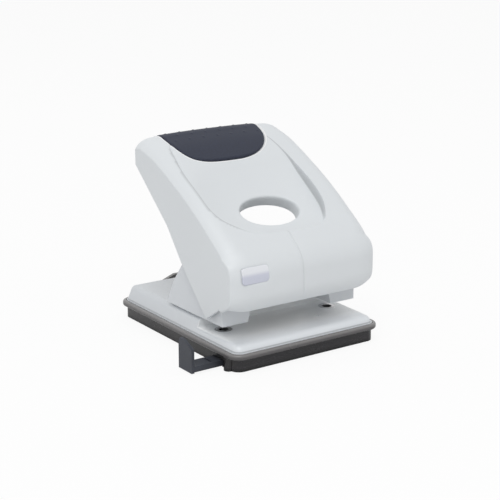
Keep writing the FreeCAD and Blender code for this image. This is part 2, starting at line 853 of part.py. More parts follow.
def die_bushing(side, sign):
    underside = d.deckLow - d.plateGauge
    bore = d.pinRadius + 2 * d.fitClearance
    flange = d.dieRadius + d.dieFlange
    body = turned("die_bushing_" + side, [
        (bore, d.deckLow - d.dieDepth), (flange, d.deckLow - d.dieDepth), (flange, underside),
        (d.dieRadius, underside), (d.dieRadius, d.deckLow), (bore, d.deckLow)])
    return place(body, sign * pin_x, pin_y, 0)


def punch_pin(side, sign):
    under_head = pin_top - d.pinHeadThickness
    body = turned("punch_pin_" + side, [
        (0, d.pinTip), (d.pinRadius, d.pinTip), (d.pinRadius, under_head), (d.pinHeadRadius, under_head),
        (d.pinHeadRadius, pin_top - d.edgeBreak), (d.pinHeadRadius - d.edgeBreak, pin_top), (0, pin_top)])
    # the cutting end is a saddle, so that two opposite points enter the paper first
    reach = d.pinRadius - d.looseClearance
    sketch = new_sketch(body, "XZ", offset=d.pinRadius + d.cutMargin)
    polygon(sketch, [(-reach, d.pinTip - d.edgeBreak), (reach, d.pinTip - d.edgeBreak),
                     (0, d.pinTip + d.saddleDepth)])
    pocket(body, sketch, 2 * (d.pinRadius + d.cutMargin))
    return place(body, sign * pin_x, pin_y, 0)


def spring_washer(side, sign):
    body = turned("spring_washer_" + side, [
        (d.pinRadius + d.looseClearance, d.guideBlockTop), (d.washerRadius, d.guideBlockTop),
        (d.washerRadius, washer_top), (d.pinRadius + d.looseClearance, washer_top)])
    return place(body, sign * pin_x, pin_y, 0)


def pin_spring(side, sign):
    body = new_body("pin_spring_" + side)
    length = pin_top - d.pinHeadThickness - washer_top - d.springWire - 2 * d.contactClearance
    sketch = circle(new_sketch(body, "XZ"), d.springMean, washer_top + d.springWire / 2 + d.contactClearance,
                    d.springWire / 2)
    coil = body.newObject("PartDesign::AdditiveHelix", "coil_" + side)
    coil.Profile = sketch
    coil.ReferenceAxis = (sketch, ["V_Axis"])
    coil.Mode = "height-turns-angle"
    coil.Height = length.value
    coil.setExpression("Height", length.text)
    coil.Turns = d.springTurns.value
    coil.setExpression("Turns", d.springTurns.text)
    sketch.Visibility = False
    document.recompute()
    return place(body, sign * pin_x, pin_y, 0)


def frame_brace():
    """A folded strip that ties the two heads together behind the pins."""
    body = new_body("frame_brace")
    front = backstop_y + d.braceSetback
    fold = inner_wall - d.webThickness
    block(body, -arm_inner, arm_inner, front, front + d.braceDepth, d.floorTop, d.floorTop + d.braceGauge)
    block(body, -fold, fold, front, front + d.braceGauge, d.floorTop, d.floorTop + d.braceHeight)
    for side, sign in SIDES:
        bore_z(body, sign * pin_x, rivet_rows[0], d.rivetRadius + d.fitClearance,
               d.floorTop - d.cutMargin, d.floorTop + d.braceGauge + d.cutMargin)
    return body


# ---- pivot and lever

def pivot_shaft():
    body = new_body("pivot_shaft")
    reach = ear_outer - d.fitClearance
    rod_x(body, pivot_y, d.pivotHeight, d.shaftRadius, -reach, reach)
    return body


def ring_pair(label, x, y, z, bore, outer):
    members = []
    for side, sign in SIDES:
        ring = turned(label + "_" + side, [
            (bore, 0), (outer, 0), (outer, d.ringThickness), (bore, d.ringThickness)], keep=False)
        start = x if sign > 0 else -(x + d.ringThickness)
        members.append(place(ring, start, y, z, Rotation(Vector(0, 1, 0), 90)))
    return group(label, members)


def press_lever():
    body = new_body("press_lever")
    chain = offset_chain([HANDLE[name] for name in PANEL], d.leverDepth)
    under = dict(zip(PANEL, chain))
    tip, front = under["upper"], under["nose"]
    hub = d.armHub
    arm_outline = [
        (front[0], front[1] - hub / 2), under["lower"], under["middle"], tip,
        (tip[0] + d.armTailReach, tip[1] - d.leverGauge), (tip[0] + hub / 2, tip[1] - d.armTailDepth),
        from_pivot(d.armElbowReach, d.armElbowRise), (bar_y + hub, bar_z - d.barHub),
        (bar_y - hub / 4, bar_z - d.barHub - d.edgeBreak), from_pivot(0, -hub),
        from_pivot(-0.97 * hub, 0)]
    side_plate(body, arm_outline, -arm_outer, arm_outer)
    sketch = circle(new_sketch(body, "YZ", offset=-arm_outer), pivot_y, d.pivotHeight, hub)
    pad(body, sketch, 2 * arm_outer)
    # all but the two arms and the two bridges between them is open
    inside = offset_chain([HANDLE[name] for name in PANEL], d.leverDepth + d.leverGauge)
    low_end = along_chain(chain, 3, 2, d.lowBridgeEnd)
    high_start = along_chain(chain, 2, 1, d.highBridgeStart)
    low_end_inside = along_chain(inside, 3, 2, d.lowBridgeEnd)
    high_start_inside = along_chain(inside, 2, 1, d.highBridgeStart)
    above = d.leverGauge + d.cutMargin
    clear = d.leverClear
    web_low = inside[4][1] - d.rearRim
    sketch = new_sketch(body, "YZ")
    polygon(sketch, [
        (low_end[0] - above, low_end[1] + above + d.cutMargin),
        (under["middle"][0] - above - d.cutMargin, under["middle"][1] + above + d.leverGauge),
        (high_start[0] - d.leverGauge, high_start[1] + above + d.cutMargin), high_start_inside, inside[1],
        (inside[1][0] + 2 * clear, inside[1][1] + 2 * above), (crown[0] + clear, HANDLE["heel"][1]),
        (front[0] - clear, HANDLE["heel"][1]), (front[0] - clear, web_low), (inside[4][0], web_low),
        inside[4], inside[3], low_end_inside])
    pocket(body, sketch, 2 * arm_inner, both=True)
    far = arm_outer + d.cutMargin
    bore_x(body, pivot_y, d.pivotHeight, d.shaftRadius + d.fitClearance, -far, far)
    bore_x(body, bar_y, bar_z, d.tenonRadius + d.fitClearance, -far, far)
    for x in screw_columns():
        for y, z, slope in screw_rows():
            rise = d.cutMargin + d.contactClearance
            sketch = new_sketch(body, "XY", offset=z + rise * cosine(slope), base=(0, y - rise * sine(slope)),
                                tilt=slope)
            circle(sketch, x, 0, d.screwRadius + d.looseClearance)
            pocket(body, sketch, 2 * d.leverGauge)
    return body


def along_chain(chain, start, end, distance):
    """The point at a distance from one corner of a chain towards another."""
    run = (chain[end][0].value - chain[start][0].value, chain[end][1].value - chain[start][1].value)
    length = math.hypot(run[0], run[1])
    return (chain[start][0] + distance * (run[0] / length), chain[start][1] + distance * (run[1] / length))


def thumb_sketch(body, rise, grow):
    """The thumb hole's outline, risen from the dished panel along its normal and grown by a margin."""
    rise = sized(rise)
    y = middle[0] - d.thumbHoleAhead - rise * sine(d.thumbHoleSlope)
    z = middle[1] - d.thumbHoleDown + rise * cosine(d.thumbHoleSlope)
    sketch = new_sketch(body, "XY", offset=z, base=(0, y), tilt=d.thumbHoleSlope)
    return ellipse(sketch, d.thumbHoleHalfWidth + grow, d.thumbHoleHalfHeight + grow)


def press_bar():
    body = new_body("press_bar")
    shoulder = arm_inner - d.fitClearance
    tenon = arm_outer + d.fitClearance + d.ringThickness
    rod_x(body, bar_y, bar_z, d.barRadius, -shoulder, shoulder)
    rod_x(body, bar_y, bar_z, d.tenonRadius, -tenon, tenon)
    return body


# ---- handle cover and what sits on it

ALL_ROUND = ("tail",) + PANEL
OUTER_RADII = {"crown": "brow", "upper": "bendUpper", "middle": "bendMiddle", "lower": "bendLower",
               "nose": "noseRadius", "chin": "chinRadius"}


def layer_corners(names, depth):
    """The handle's outline corners by name, moved inwards by a depth."""
    return dict(zip(names, offset_chain([HANDLE[name] for name in names], depth)))


def layer_radius(name, depth):
    return getattr(d, OUTER_RADII[name]) - depth


def bend(body, corners, names, depth):
    for name in names:
        round_edges(body, layer_radius(name, depth), x_edge_at(*corners[name]))


def layer(label, names, depth, proud, half_width, bent):
    """A band of the handle's wall between a depth and a height above its outside."""
    body = new_body(label, keep=False)
    outer = layer_corners(names, -proud)
    inner = layer_corners(names, depth)
    side_plate(body, list(outer.values()) + list(inner.values())[::-1], -half_width, half_width)
    bend(body, outer, bent, -proud)
    bend(body, inner, bent, depth)
    return body


def trimmed(label, members, keep=False):
    common = document.addObject("Part::MultiCommon", "Trimmed_" + label)
    common.Shapes = members
    common.Label = label
    if keep:
        nodes.append(common)
    document.recompute()
    return common


# Half of the grip's outline, as shares of its half width and depth, and which way a margin moves each corner.
GRIP_OUTLINE = ((1.0, 1.0, 1, 1), (1.0, 0.470, 1, -1), (0.986, 0.341, 1, 0), (0.893, 0.202, 1, -1),
                (0.744, 0.106, 1, -1), (0.479, 0.026, 0, -1), (0.225, 0.0, 0, -1))
# The dish's floor as shares of its half length and depth, and half of its outline as shares of its plan.
DISH_FLOOR = ((-1.0, 0.048), (-0.829, -0.484), (-0.552, -0.903), (-0.276, -1.0), (0.0, -0.968),
              (0.331, -0.742), (0.663, -0.290), (0.870, 0.113))
DISH_OUTLINE = ((0.798, 1.0), (0.917, 0.742), (0.988, 0.419), (1.0, 0.161), (0.976, -0.161),
                (0.905, -0.452), (0.750, -0.694), (0.560, -0.855), (0.286, -0.994))


def mirrored(corners):
    """A closed outline from its right half."""
    return corners + [(-sized(x), y) for x, y in corners[::-1]]


def grip_form(label, depth, proud, margin, keep=False):
    band = layer(label + "_band", ("tail", "crown", "upper", "middle"), depth, proud,
                 cover_x - d.coverEdgeRadius, ("crown", "upper"))
    outline = new_body(label + "_outline", keep=False)
    front = crown[0] - d.gripInset - d.gripDepth
    corners = [(d.gripHalfWidth * wide + margin * side, front + d.gripDepth * deep + margin * back)
               for wide, deep, side, back in GRIP_OUTLINE]
    sketch = new_sketch(outline, "XY", offset=HANDLE["back"][1])
    polygon(sketch, mirrored(corners))
    pad(outline, sketch, crown[1] - HANDLE["back"][1] + d.leverClear)
    return trimmed(label, [band, outline], keep)


def badge_form(label, depth, proud, margin, keep=False):
    band = layer(label + "_band", ("lower", "nose", "chin"), depth, proud, cover_x - d.cheekWall, ("nose",))
    outline = new_body(label + "_outline", keep=False)
    left = d.badgeInset - cover_x
    low = d.pivotHeight + d.badgeRise
    sketch = new_sketch(outline, "XZ", offset=-lower[0])
    rectangle(sketch, left - margin, left + d.badgeWidth + margin, low - margin, low + d.badgeHeight + margin)
    pad(outline, sketch, 2 * d.chinReach)
    round_edges(outline, d.badgeCorner + margin, lambda edge: along(edge, Vector(0, 1, 0)))
    return trimmed(label, [band, outline], keep)


def dish_form(label, drop, grow):
    """The dish in the handle's front, deeper by a drop and wider by a margin.

    Its floor is a hollow profile along the slope, swung about a far axis above it.
    """
    profile = new_body(label + "_profile", keep=False)
    centre_y = middle[0] + d.dishBehind
    centre_z = middle[1] - d.dishDown
    axis_y = centre_y - d.dishCurve * sine(d.dishSlope)
    axis_z = centre_z + d.dishCurve * cosine(d.dishSlope)
    sketch = new_sketch(profile, "YZ", base=(axis_y, axis_z), turn=d.dishSlope)
    lowered = [(share * d.dishHalfLength, down * d.dishDepth - drop - d.dishCurve)
               for share, down in DISH_FLOOR]
    top = d.dishHalfLength - d.dishCurve
    polygon(sketch, lowered + [(lowered[-1][0], top), (lowered[0][0], top)])
    swing = profile.newObject("PartDesign::Revolution", label + "_swing")
    swing.Profile = sketch
    swing.ReferenceAxis = (sketch, ["H_Axis"])
    swing.Midplane = True
    swing.setExpression("Angle", d.dishSweep.text)
    settled(swing)
    outline = new_body(label + "_outline", keep=False)
    corners = [(wide * d.dishHalfWidth + grow, centre_y + deep * d.dishHalfPlan)
               for wide, deep in DISH_OUTLINE]
    sketch = new_sketch(outline, "XY", offset=d.pivotHeight)
    polygon(sketch, mirrored(corners))
    pad(outline, sketch, crown[1] - d.pivotHeight + d.leverClear)
    return trimmed(label, [profile, outline])


def joined_cut(label, base, tools, keep=False):
    """A base with several tools taken away, one after the other."""
    for number, tool in enumerate(tools):
        cut = document.addObject("Part::Cut", "Cut_" + label + str(number))
        cut.Base = base
        cut.Tool = tool
        base = cut
    base.Label = label
    if keep:
        nodes.append(base)
    document.recompute()
    return base


def handle_outside():
    body = new_body("handle_outside", keep=False)
    side_plate(body, [HANDLE[name] for name in HANDLE], -cover_x, cover_x)
    bend(body, HANDLE, PANEL, 0)

    def front_edge(edge):
        middle = edge.CenterOfMass
        if not near(edge.BoundBox.XMin, edge.BoundBox.XMax) or not near(abs(middle.x), cover_x):
            return False
        return before_rear_line(middle) or middle.y < (pivot_y - d.lipReach - d.rearRim).value
    round_edges(body, d.coverEdgeRadius, front_edge)
    pocket(body, thumb_sketch(body, 2 * d.rearMargin, 0), 2 * d.leverClear)
    for x in screw_columns():
        for y, z, slope in screw_rows():
            bore = new_sketch(body, "XY", offset=z, base=(0, y), tilt=slope)
            circle(bore, x, 0, d.screwRadius + d.fitClearance)
            pocket(body, bore, d.leverDepth - d.coverWall + d.cutMargin, back=True)
    return body


def before_rear_line(point):
    """True for a point of the handle above the line of its rear edge."""
    back_y, back_z = HANDLE["back"]
    return point.z - back_z.value > 0.85 * (point.y - back_y.value) + d.rearMargin.value


def handle_cavity():
    """The hollow of the handle cover, with its front corners softened."""
    body = new_body("handle_cavity", keep=False)
    inner = layer_corners(ALL_ROUND, d.coverWall)
    tip, foot = inner["nose"], inner["chin"]
    tail_z = HANDLE["tail"][1] - d.rearRim
    lip_y = pivot_y - d.lipReach
    lip_z = d.pivotHeight - d.lipDrop
    front = tip[0] - d.leverClear
    rear = crown[0] + 2 * d.leverClear
    below = HANDLE["heel"][1] - d.leverClear
    side_plate(body, [
        (inner["tail"][0], tail_z), inner["crown"], inner["upper"], inner["middle"], inner["lower"], tip,
        (tip[0], foot[1] + d.chinWeb), (tip[0] + 0.8 * d.chinSlant, foot[1] + d.chinSlant),
        (lip_y, lip_z + d.coverWall), (lip_y, lip_z), (front, lip_z), (front, below), (rear, below),
        (rear, tail_z)], d.cheekWall - cover_x, cover_x - d.cheekWall)
    bend(body, inner, ("crown", "upper", "middle", "lower", "nose"), d.coverWall)

    def inner_edge(edge):
        point = edge.CenterOfMass
        flat = near(edge.BoundBox.XMin, edge.BoundBox.XMax)
        high = point.z > (foot[1] + d.chinWeb + d.cutMargin).value
        return flat and high and before_rear_line(point) and point.y > (tip[0] - d.cutMargin).value
    round_edges(body, d.coverEdgeRadius - d.coverWall, inner_edge)
    for x in screw_columns():
        for y, z, slope in screw_rows():
            seat = new_sketch(body, "XY", offset=z, base=(0, y), tilt=slope)
            rectangle(seat, x - d.seatHalf, x + d.seatHalf, -d.seatHalf, d.seatHalf)
            pocket(body, seat, d.leverDepth, back=True)
    return body


def thumb_collar():
    body = new_body("thumb_collar", keep=False)
    sketch = thumb_sketch(body, -d.collarDepth, d.collarWall)
    pad(body, sketch, 2 * d.leverClear)
    return body


def handle_cover():
    bed = grip_form("grip_bed", d.gripInlay + d.fitClearance, d.gripBedDepth, d.looseClearance)
    recess = badge_form("badge_recess", d.badgeInlay + d.fitClearance, d.gripBedDepth, d.fitClearance)
    outside = joined_cut("handle_dished", handle_outside(),
                         [dish_form("dish", sized(0), sized(0)), bed, recess])
    cavity = joined_cut("handle_hollow", handle_cavity(),
                        [dish_form("dish_back", d.dishWall, d.dishWall), thumb_collar()])
    return joined_cut("handle_cover", outside, [cavity], keep=True)


def screw_columns():
    return (-d.screwPlace, d.screwPlace)


def screw_rows():
    """Where the cover's screws go through the lever's bridges: y, z on the bridge, and its slope."""
    chain = offset_chain([HANDLE[name] for name in PANEL], d.leverDepth - d.contactClearance)
    rows = []
    for start, end, share in ((4, 3, 0.5), (2, 1, 0.78)):
        y = chain[start][0] + (chain[end][0] - chain[start][0]) * share
        z = chain[start][1] + (chain[end][1] - chain[start][1]) * share
        run = (chain[end][0].value - chain[start][0].value, chain[end][1].value - chain[start][1].value)
        rows.append((y, z, sized(math.degrees(math.atan2(run[1], run[0])))))
    return rows


def cover_screws():
    members = []
    head_low = d.leverGauge + d.screwHeadHeight + 2 * d.contactClearance
    reach = d.leverDepth - d.coverWall + d.edgeBreak
    for column, x in enumerate(screw_columns()):
        for row, (y, z, slope) in enumerate(screw_rows()):
            screw = turned("cover_screw_" + str(column) + str(row), [
                (0, -head_low), (d.screwHeadRadius - d.edgeBreak, -head_low),
                (d.screwHeadRadius, d.edgeBreak - head_low),
                (d.screwHeadRadius, d.screwHeadHeight - head_low),
                (d.screwRadius, d.screwHeadHeight - head_low), (d.screwRadius, reach - d.cutMargin),
                (0, reach)], keep=False)
            members.append(place(screw, x, y, z, Rotation(Vector(1, 0, 0), slope.value)))
    return group("cover_screws", members)


# ---- the whole machine

def build():
    base_plate()
    chip_tray()
    anti_slip_pads()
    paper_guide()
    for side, sign in SIDES:
        punch_head(side, sign)
        die_bushing(side, sign)
        punch_pin(side, sign)
        spring_washer(side, sign)
        pin_spring(side, sign)
    head_rivets()
    frame_brace()
    pivot_shaft()
    ring_pair("shaft_clips", arm_outer + d.looseClearance, pivot_y, d.pivotHeight,
              d.shaftRadius + d.fitClearance, d.ringRadius)
    press_lever()
    press_bar()
    ring_pair("bar_clips", arm_outer + d.fitClearance, bar_y, bar_z, d.tenonRadius + d.fitClearance,
              d.barRingRadius)
    handle_cover()
    cover_screws()
    grip_form("grip_pad", d.gripInlay, d.gripProud, 0, keep=True)
    badge_form("blank_badge", d.badgeInlay, d.badgeProud, 0, keep=True)


def export():
    document.recompute()
    os.makedirs("parts", exist_ok=True)
    for thing in document.Objects:
        if "Invalid" in thing.State or "Error" in thing.State:
            raise ValueError(thing.Label + " did not build")
    for node in nodes:
        if node.Shape.isNull() or not node.Shape.isValid():
            raise ValueError(node.Label + " has no sound shape")
        node.Shape.exportStep("parts/" + node.Label + ".step")
        box = node.Shape.BoundBox
        print(node.Label, len(node.Shape.Solids), [round(value, 2) for value in (
            box.XMin, box.XMax, box.YMin, box.YMax, box.ZMin, box.ZMax)], round(node.Shape.Volume / 1000, 2))


build()
export()
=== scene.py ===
import json
import math

import bmesh
import bpy
import numpy as np
from numpy.linalg import norm
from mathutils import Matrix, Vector
from mathutils.geometry import delaunay_2d_cdt
from mathutils.kdtree import KDTree


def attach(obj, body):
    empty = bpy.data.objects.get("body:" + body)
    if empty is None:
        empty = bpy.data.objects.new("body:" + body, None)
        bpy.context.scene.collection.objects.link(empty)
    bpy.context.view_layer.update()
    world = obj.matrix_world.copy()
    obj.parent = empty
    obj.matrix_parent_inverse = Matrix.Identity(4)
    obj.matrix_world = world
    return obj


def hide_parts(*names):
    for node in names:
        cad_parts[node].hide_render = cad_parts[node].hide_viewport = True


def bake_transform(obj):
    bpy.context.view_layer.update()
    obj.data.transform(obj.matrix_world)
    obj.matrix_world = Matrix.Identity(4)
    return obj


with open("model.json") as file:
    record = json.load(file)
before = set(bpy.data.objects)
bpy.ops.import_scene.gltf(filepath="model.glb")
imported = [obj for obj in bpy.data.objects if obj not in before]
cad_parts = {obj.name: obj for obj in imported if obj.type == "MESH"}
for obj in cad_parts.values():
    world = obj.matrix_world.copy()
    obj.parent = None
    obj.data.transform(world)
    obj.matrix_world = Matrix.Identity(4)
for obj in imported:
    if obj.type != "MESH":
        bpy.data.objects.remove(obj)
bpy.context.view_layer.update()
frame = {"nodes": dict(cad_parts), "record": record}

mm = 0.001  # lengths below are in millimetres, the scene is in metres
white = (1.0, 1.0, 1.0)
midBand = (0.3, 0.7)  # where most of a noise's values lie


# a socket on which maths reads as plain arithmetic
class Shade:
    def __init__(self, graph, node, key=0):
        self.graph = graph
        self.node = node
        self.socket = node.outputs[key]

    def output(self, key):
        return Shade(self.graph, self.node, key)

    def math(self, operation, first, second):
        return self.graph.node("ShaderNodeMath", {"operation": operation}, {0: first, 1: second})

    def __add__(self, other):
        return self.math("ADD", self, other)

    def __radd__(self, other):
        return self.math("ADD", other, self)

    def __sub__(self, other):
        return self.math("SUBTRACT", self, other)

    def __rsub__(self, other):
        return self.math("SUBTRACT", other, self)

    def __mul__(self, other):
        return self.math("MULTIPLY", self, other)

    def __rmul__(self, other):
        return self.math("MULTIPLY", other, self)

    def larger(self, other):
        return self.math("MAXIMUM", self, other)

    # eases from start to end while this goes from low to high
    def smooth(self, low, high, start=0.0, end=1.0):
        values = {"Value": self, "From Min": low, "From Max": high, "To Min": start, "To Max": end}
        return self.graph.node("ShaderNodeMapRange", {"interpolation_type": "SMOOTHSTEP"}, values, "Result")


# a node tree, in which every new node comes from the one node method
class Graph:
    def __init__(self, tree):
        self.tree = tree

    def feed(self, socket, value):
        if isinstance(value, Shade):
            self.tree.links.new(value.socket, socket)
        else:
            socket.default_value = value

    # a node's type, its settings, its sockets' values or links, and the output to hand back
    def node(self, kind, settings=None, values=None, output=0):
        made = self.tree.nodes.new(kind)
        for key, value in (settings or {}).items():
            setattr(made, key, value)
        for key, value in (values or {}).items():
            self.feed(made.inputs[key], value)
        return Shade(self, made, output)

    # a shader mix at the output, from the first shader to the second as the factor grows
    def finish(self, outputName, factor, first, second):
        mix = self.node("ShaderNodeMixShader", None, {0: factor, 1: first, 2: second})
        self.feed(self.tree.nodes[outputName].inputs["Surface"], mix)


# a principled material being put together
class Paint(Graph):
    def __init__(self, name, color, roughness, **constants):
        self.material = bpy.data.materials.new(name)
        self.material.use_nodes = True
        self.material.diffuse_color = (*color, 1)
        super().__init__(self.material.node_tree)
        self.shader = self.tree.nodes["Principled BSDF"]
        self.drive("Base Color", (*color, 1))
        self.drive("Roughness", roughness)
        for key, value in constants.items():
            self.drive(key.replace("_", " "), value)
        self.place = self.node("ShaderNodeTexCoord", output="Object")

    def drive(self, name, value):
        self.feed(self.shader.inputs[name], value)

    def heights(self):
        split = self.node("ShaderNodeSeparateXYZ", None, {"Vector": self.place})
        return split.output("Y"), split.output("Z")

    def noise(self, scale, detail=2.0, vector=None):
        return self.node("ShaderNodeTexNoise", None,
                         {"Vector": vector or self.place, "Scale": scale, "Detail": detail})

    def attribute(self, name):
        return self.node("ShaderNodeAttribute", {"attribute_name": name}, None, "Fac")

    def bump(self, height, strength, distance=0.0001):
        self.drive("Normal", self.node("ShaderNodeBump", None,
                                       {"Height": height, "Strength": strength, "Distance": distance}, "Normal"))

    # colours mixed by a factor; 6 and 7 are the Mix node's colour sockets
    def blend(self, first, second, factor):
        colors = [color if isinstance(color, Shade) else (*color, 1) for color in (first, second)]
        return self.node("ShaderNodeMix", {"data_type": "RGBA"}, {0: factor, 6: colors[0], 7: colors[1]}, 2)


# screen colour values, 0 to 255, as linear light
def linear(red, green, blue):
    return tuple((value / 255 / 12.92) if value <= 10 else ((value / 255 + 0.055) / 1.055) ** 2.4
                 for value in (red, green, blue))


def scaled(color, share):
    return tuple(value * share for value in color)


moulded = {
    "grain": 2600, "grainStrength": 0.10,
    "cloud": 18, "cloudBand": (0.25, 0.75), "cloudTone": 0.985,
    # how dark the painted shade in recesses, folds and the mould line makes the colour
    "recessShadeTone": 0.66,
    # the y span over which the rear turns greyer, a painted shade under the handle
    "rear": (-0.045, 0.0),
    "mottle": 400, "mottleBand": (0.2, 0.8), "mottleLow": 0.02, "mottleHigh": 0.03,
}
# painted light on the plate's low deck under the handle's nose, and painted shade in the fold above the flange
deckLightAndFoldShade = {
    "color": linear(252, 254, 255),
    "height": (0.0157, 0.0164), "front": (-0.060, -0.046), "back": (-0.022, -0.020),
    "foldShadeTone": 0.6, "foldLow": (0.0121, 0.0124), "foldHigh": (0.0128, 0.0134),
}


# pale moulded plastic or paint with a fine grain; where given: a greyer rear as painted shade under the handle,
# painted shade in recesses with a painted highlight round the grip's lip, and painted light on the deck with
# painted shade in its fold
def palePaint(name, front, roughness=0.42, rear=None, marked=False, deck=None):
    paint = Paint(name, front, roughness)
    paint.bump(paint.noise(moulded["grain"], 3.0), moulded["grainStrength"])
    cloud = paint.noise(moulded["cloud"], 1.0).smooth(*moulded["cloudBand"])
    color = paint.blend(front, scaled(front, moulded["cloudTone"]), cloud)
    y, z = paint.heights()
    # a greyer rear, painted shade under the handle
    if rear:
        color = paint.blend(color, rear, y.smooth(*moulded["rear"]))
    if marked:
        # painted shade in the recesses, folds and mould line
        color = paint.blend(color, scaled(front, moulded["recessShadeTone"]), paint.attribute("paintedRecessShade"))
        # painted highlight on the lip round the grip
        color = paint.blend(color, white, paint.attribute("paintedHighlight"))
    if deck:
        # painted light on the deck under the nose
        deckLightMask = z.smooth(*deck["height"]) * y.smooth(*deck["front"]) * (1 - y.smooth(*deck["back"]))
        color = paint.blend(color, deck["color"], deckLightMask)
        # painted shade in the fold above the flange
        fold = z.smooth(*deck["foldLow"]) * (1 - z.smooth(*deck["foldHigh"]))
        color = paint.blend(color, scaled(front, deck["foldShadeTone"]), fold)
    paint.drive("Base Color", color)
    paint.drive("Roughness", paint.noise(moulded["mottle"]).smooth(
        *moulded["mottleBand"], roughness - moulded["mottleLow"], roughness + moulded["mottleHigh"]))
    return paint


rubber = {"color": linear(50, 54, 68), "dark": linear(45, 49, 62), "light": linear(56, 60, 74),
          "roughness": (0.55, 0.7), "specular": 0.25, "speck": 900, "grain": 2200, "grainStrength": 0.25}


# soft dark rubber, matt with fine speckles
def gripPaint():
    paint = Paint("gripRubber", rubber["color"], rubber["roughness"][0], Specular_IOR_Level=rubber["specular"])
    speck = paint.noise(rubber["speck"], 3.0)
    paint.drive("Base Color", paint.blend(rubber["dark"], rubber["light"], speck.smooth(*midBand)))
    paint.drive("Roughness", speck.smooth(*midBand, *rubber["roughness"]))
    paint.bump(paint.noise(rubber["grain"]), rubber["grainStrength"])
    return paint


smoke = {
    # the front wall's darker colour is painted shade, the side wall's lighter one painted light
    "shadedFrontWall": linear(30, 29, 33), "litSideWall": linear(38, 37, 37), "wallTurn": (-0.0664, -0.0615),
    "streak": linear(35, 33, 36), "streakScale": 28, "streakShare": 0.3,
    "low": linear(40, 38, 41), "lowHeight": (0.001, 0.007),
    # a near-black band at the foot as painted shade
    "foot": linear(14, 14, 16), "footHeight": (0.0016, 0.0030),
    "rim": linear(88, 86, 87), "rimHeight": (0.0080, 0.0098),
    # a painted highlight along the rim's top
    "rimTop": linear(126, 124, 124), "highlightHeight": (0.0100, 0.0118),
    "roughness": (0.2, 0.28), "mottle": 60, "grain": 700, "grainStrength": 0.05,
}


# smoky plastic: a darker front wall as painted shade and a lighter side wall as painted light, random streaks, a
# lighter band low down, a near-black painted shade along the foot, and a paler rim band with a painted highlight
# along its top
def smokePaint():
    paint = Paint("smokePlastic", smoke["rim"], smoke["roughness"][0])
    y, z = paint.heights()
    # painted shade on the front wall, painted light on the side wall
    color = paint.blend(smoke["shadedFrontWall"], smoke["litSideWall"], y.smooth(*smoke["wallTurn"]))
    streak = paint.noise(smoke["streakScale"]).smooth(*midBand, 0.0, smoke["streakShare"])
    color = paint.blend(color, smoke["streak"], streak)
    color = paint.blend(smoke["low"], color, z.smooth(*smoke["lowHeight"]))
    # painted shade along the foot
    color = paint.blend(smoke["foot"], color, z.smooth(*smoke["footHeight"]))
    color = paint.blend(color, smoke["rim"], z.smooth(*smoke["rimHeight"]))
    # painted highlight along the rim's top
    color = paint.blend(color, smoke["rimTop"], z.smooth(*smoke["highlightHeight"]))
    paint.drive("Base Color", color)
    paint.drive("Roughness", paint.noise(smoke["mottle"]).smooth(*midBand, *smoke["roughness"]))
    paint.bump(paint.noise(smoke["grain"]), smoke["grainStrength"])
    return paint


dark = {"cloud": 70, "lowTone": 0.88, "highTone": 1.1, "mottle": 0.08, "grain": 1800, "grainStrength": 0.1}


# dark moulded plastic or rubber with a soft cloud
def darkPaint(name, color, roughness, specular):
    paint = Paint(name, color, roughness, Specular_IOR_Level=specular)
    cloud = paint.noise(dark["cloud"], 3.0).smooth(*midBand)
    paint.drive("Base Color", paint.blend(scaled(color, dark["lowTone"]), scaled(color, dark["highTone"]), cloud))
    paint.drive("Roughness", dark["mottle"] * cloud + (roughness - dark["mottle"] / 2))
    paint.bump(paint.noise(dark["grain"]), dark["grainStrength"])
    return paint


# the label's paler top is a painted highlight
badgeLook = {"color": linear(214, 217, 228), "low": linear(206, 209, 223), "high": linear(232, 234, 239),
             "turn": (0.0575, 0.0605), "roughness": (0.16, 0.26), "mottle": 300, "grain": 1500,
             "grainStrength": 0.05}


# a blank glossy label, paler towards its top as a painted highlight
def badgePaint():
    paint = Paint("badgePlastic", badgeLook["color"], badgeLook["roughness"][0])
    _, z = paint.heights()
    # paler towards the top: a painted highlight
    paint.drive("Base Color", paint.blend(badgeLook["low"], badgeLook["high"], z.smooth(*badgeLook["turn"])))
    paint.drive("Roughness", paint.noise(badgeLook["mottle"]).smooth(*midBand, *badgeLook["roughness"]))
    paint.bump(paint.noise(badgeLook["grain"]), badgeLook["grainStrength"])
    return paint


metal = {"patch": 120, "patchBand": (0.35, 0.65), "patchTone": 0.92, "mottle": 0.08, "mottleLow": 0.03,
         "drawn": (1.0, 1.0, 9.0), "scratchStrength": 0.12, "scratchDepth": 0.00008}


# bare or plated metal with fine drawn scratches and dull patches
def metalPaint(name, color, roughness, scratch):
    paint = Paint(name, color, roughness, Metallic=1.0)
    patch = paint.noise(metal["patch"], 3.0).smooth(*metal["patchBand"])
    paint.drive("Base Color", paint.blend(color, scaled(color, metal["patchTone"]), patch))
    paint.drive("Roughness", metal["mottle"] * patch + (roughness - metal["mottleLow"]))
    stretched = paint.node("ShaderNodeMapping", None, {"Vector": paint.place, "Scale": metal["drawn"]})
    paint.bump(paint.noise(scratch, 2.0, stretched), metal["scratchStrength"], metal["scratchDepth"])
    return paint


